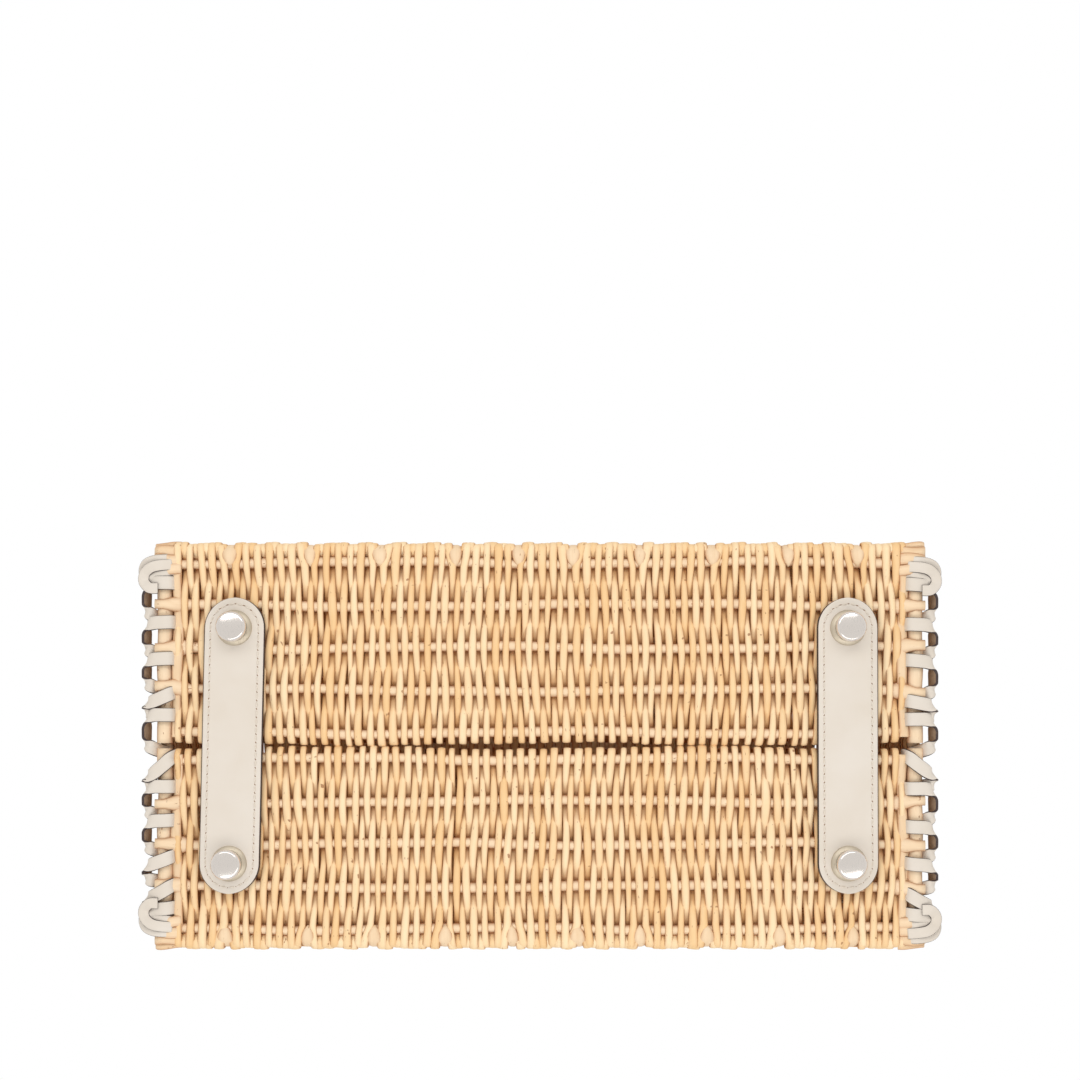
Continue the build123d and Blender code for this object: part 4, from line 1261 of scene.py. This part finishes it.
def closingTab():
    look = tabLook
    lean = math.radians(look["lean"])
    down = np.array([0, -math.sin(lean), -math.cos(lean)])
    start = np.array([0, look["foldY"], look["foldZ"]])
    level = look["lidHigh"]
    fold = [(0, y, level - drop) for y, drop in ((-84.0, 0), (-89.0, 0), (-92.6, 0.7), (-94.6, 2.6))]
    fold += [tuple(start + down * far) for far in (1.0, 5.0)]
    line = smooth(fold, 8)
    over = np.linspace((0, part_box("tab_anchor")[1].y / mm, level), line[0], 10)[:-1]
    hang = np.linspace(line[-1], start + down * look["long"], 30)[1:]
    line = np.concatenate([over, line, hang])[::-1]
    strap = Strap(line, (-1, 0, 0), look["wide"], look["thick"], (13.0, 9.0))
    pieces = []
    for name, fill in (("closingTab", strap.solid), ("closingTabStitches", strap.stitch)):
        net = Gather()
        fill(net)
        pieces.append(net.build(name, strapFinish, None, "strap_leather"))
    cutSlot(pieces[0], start + down * look["slotAt"], -down, look["slotLong"], look["slotWide"])
    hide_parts("closing_tab", "tab_anchor")
    for piece in pieces:
        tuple(look["bendStart"])
        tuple(look["bendEnd"])
        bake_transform(piece)


closingTab()
print("closing tab made")

handleLook = {
    "halfSpan": 62.0,
    "top": 326.5,
    "bottom": 251.6,
    "bend": 44.0,
    "grip": 6.0,
    "tabWide": 10.0,
    "tabThick": 3.3,
    "taperFrom": 257.0,
    "taperTo": 278.0,
    "loopWide": 22.0,
    "loopThick": 1.8,
}


def handle():
    look = handleLook
    span, top, bottom = look["halfSpan"], look["top"], look["bottom"]
    corners = [(-span, 0, bottom), (-span, 0, top), (span, 0, top), (span, 0, bottom)]
    line = pathThrough(corners, look["bend"], 2.5)
    ends = np.array([3.3, 3.0, 2.2, 1.0])
    low = np.stack([np.full(4, -span), np.zeros(4), bottom - ends], 1)
    line = np.concatenate([low, line, (low * [-1, 1, 1])[::-1]])
    along = unit(np.gradient(line, axis=0))
    side = np.cross((0, 1.0, 0), along)
    height = line[:, 2]
    taper = np.clip((height - look["taperFrom"]) / (look["taperTo"] - look["taperFrom"]), 0, 1)
    taper = eased(taper)
    wide = look["tabWide"] + (look["grip"] - look["tabWide"]) * taper
    thick = look["tabThick"] + (look["grip"] - look["tabThick"]) * taper
    roundOff = np.sqrt(np.clip(1 - (np.clip(bottom - height, 0, 3.3) / 3.35) ** 2, 0.02, 1))
    thick = thick * roundOff
    net = Gather()
    sweep(net, line, side, wide, thick, roundSection(28, 0.75))
    # the seam under the grip, a painted edge between two rows of stitches
    keep = height > look["taperFrom"] + 6
    seam = (line + side * (wide * 0.985)[:, None])[keep]
    sweep(net, seam, (0, 1, 0), 0.55, 0.5, roundSection(8), 1)
    under = (line + side * (wide * 0.93)[:, None])[keep]
    for row in (-1, 1):
        stitches(net, under + np.array([0, row * 2.3, 0]))
    # stitches along both edges of each tab, front and back
    z = np.linspace(bottom + 0.5, look["taperTo"] - 6, 12)
    rise = [look["taperFrom"], look["taperTo"]]
    shrink = np.interp(z, rise, [7.6, 4.6])
    swell = np.interp(z, rise, [look["tabThick"], look["grip"] * 0.9]) - 0.05
    for x in (-span, span):
        for face in (-1, 1):
            for edge in (-1, 1):
                stitches(net, np.stack([x + edge * shrink, face * swell, z], 1))
    net.build("handleGrip", strapFinish, "handle", "handle_leather", ["handle"])


def stitches(net, line):
    # short threads along a line in the open
    run = np.concatenate([[0], np.cumsum(np.linalg.norm(np.diff(line, axis=0), axis=1))])
    count = int(run[-1] / stitchLook["pitch"])
    places = (np.arange(count) + 0.5) * run[-1] / count
    reach = places[:, None] + np.linspace(-1.25, 1.25, 5)
    centre = np.stack([np.interp(reach, run, line[:, i]) for i in range(3)], -1)
    direction = unit(np.gradient(centre, axis=1))
    side = unit(np.cross(direction, np.array([0.3, 0.9, 0.2])))
    wide = 0.42 * np.array([0.6, 1, 1.1, 1, 0.6])
    sweep(net, centre, side, wide, wide, roundSection(6), 3)


def handleLoop(sideName):
    look = handleLook
    node = sideName + "_handle_loop"
    low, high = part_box(node)
    level = low.z / mm + 0.1 + look["loopThick"] / 2
    x, reach = (low.x + high.x) / 2 / mm, high.y / mm
    # the leather climbs over the ring
    side = [(-12, 0), (-8.5, 0.1), (-4.5, 2.0)]
    climb = side + [(0, 3.55)] + [(-y, rise) for y, rise in side[::-1]]
    middle = smooth([(x, y, level + rise) for y, rise in climb], 6)
    before = np.linspace((x, -reach, level), middle[0], 16)[:-1]
    after = np.linspace(middle[-1], (x, reach, level), 16)[1:]
    line = np.concatenate([before, middle, after])
    strap = Strap(line, (-1, 0, 0), look["loopWide"], look["loopThick"], (look["loopWide"] / 2,) * 2)
    strap.build(sideName + "HandleLoop", "lid", [node])


handle()
for sideName, outward in leftAndRight:
    handleLoop(sideName)
print("handle and loops made")

# the metal parts keep their exact shapes
metalNodes = [
    "foot_screws", "foot_washers", "left_handle_ring", "right_handle_ring", "lid_stud_roves", "lid_studs",
    "lock_back_plate", "lock_plate", "lock_screws", "slot_plate", "slot_rivets", "toggle", "toggle_collar",
    "wall_stud_roves", "wall_studs",
]
for node in bpy.context.scene.objects:
    if node.name in metalNodes:
        for slot in node.material_slots:
            slot.material = metal
        if not node.material_slots:
            node.data.materials.append(metal)
print("metal finished")
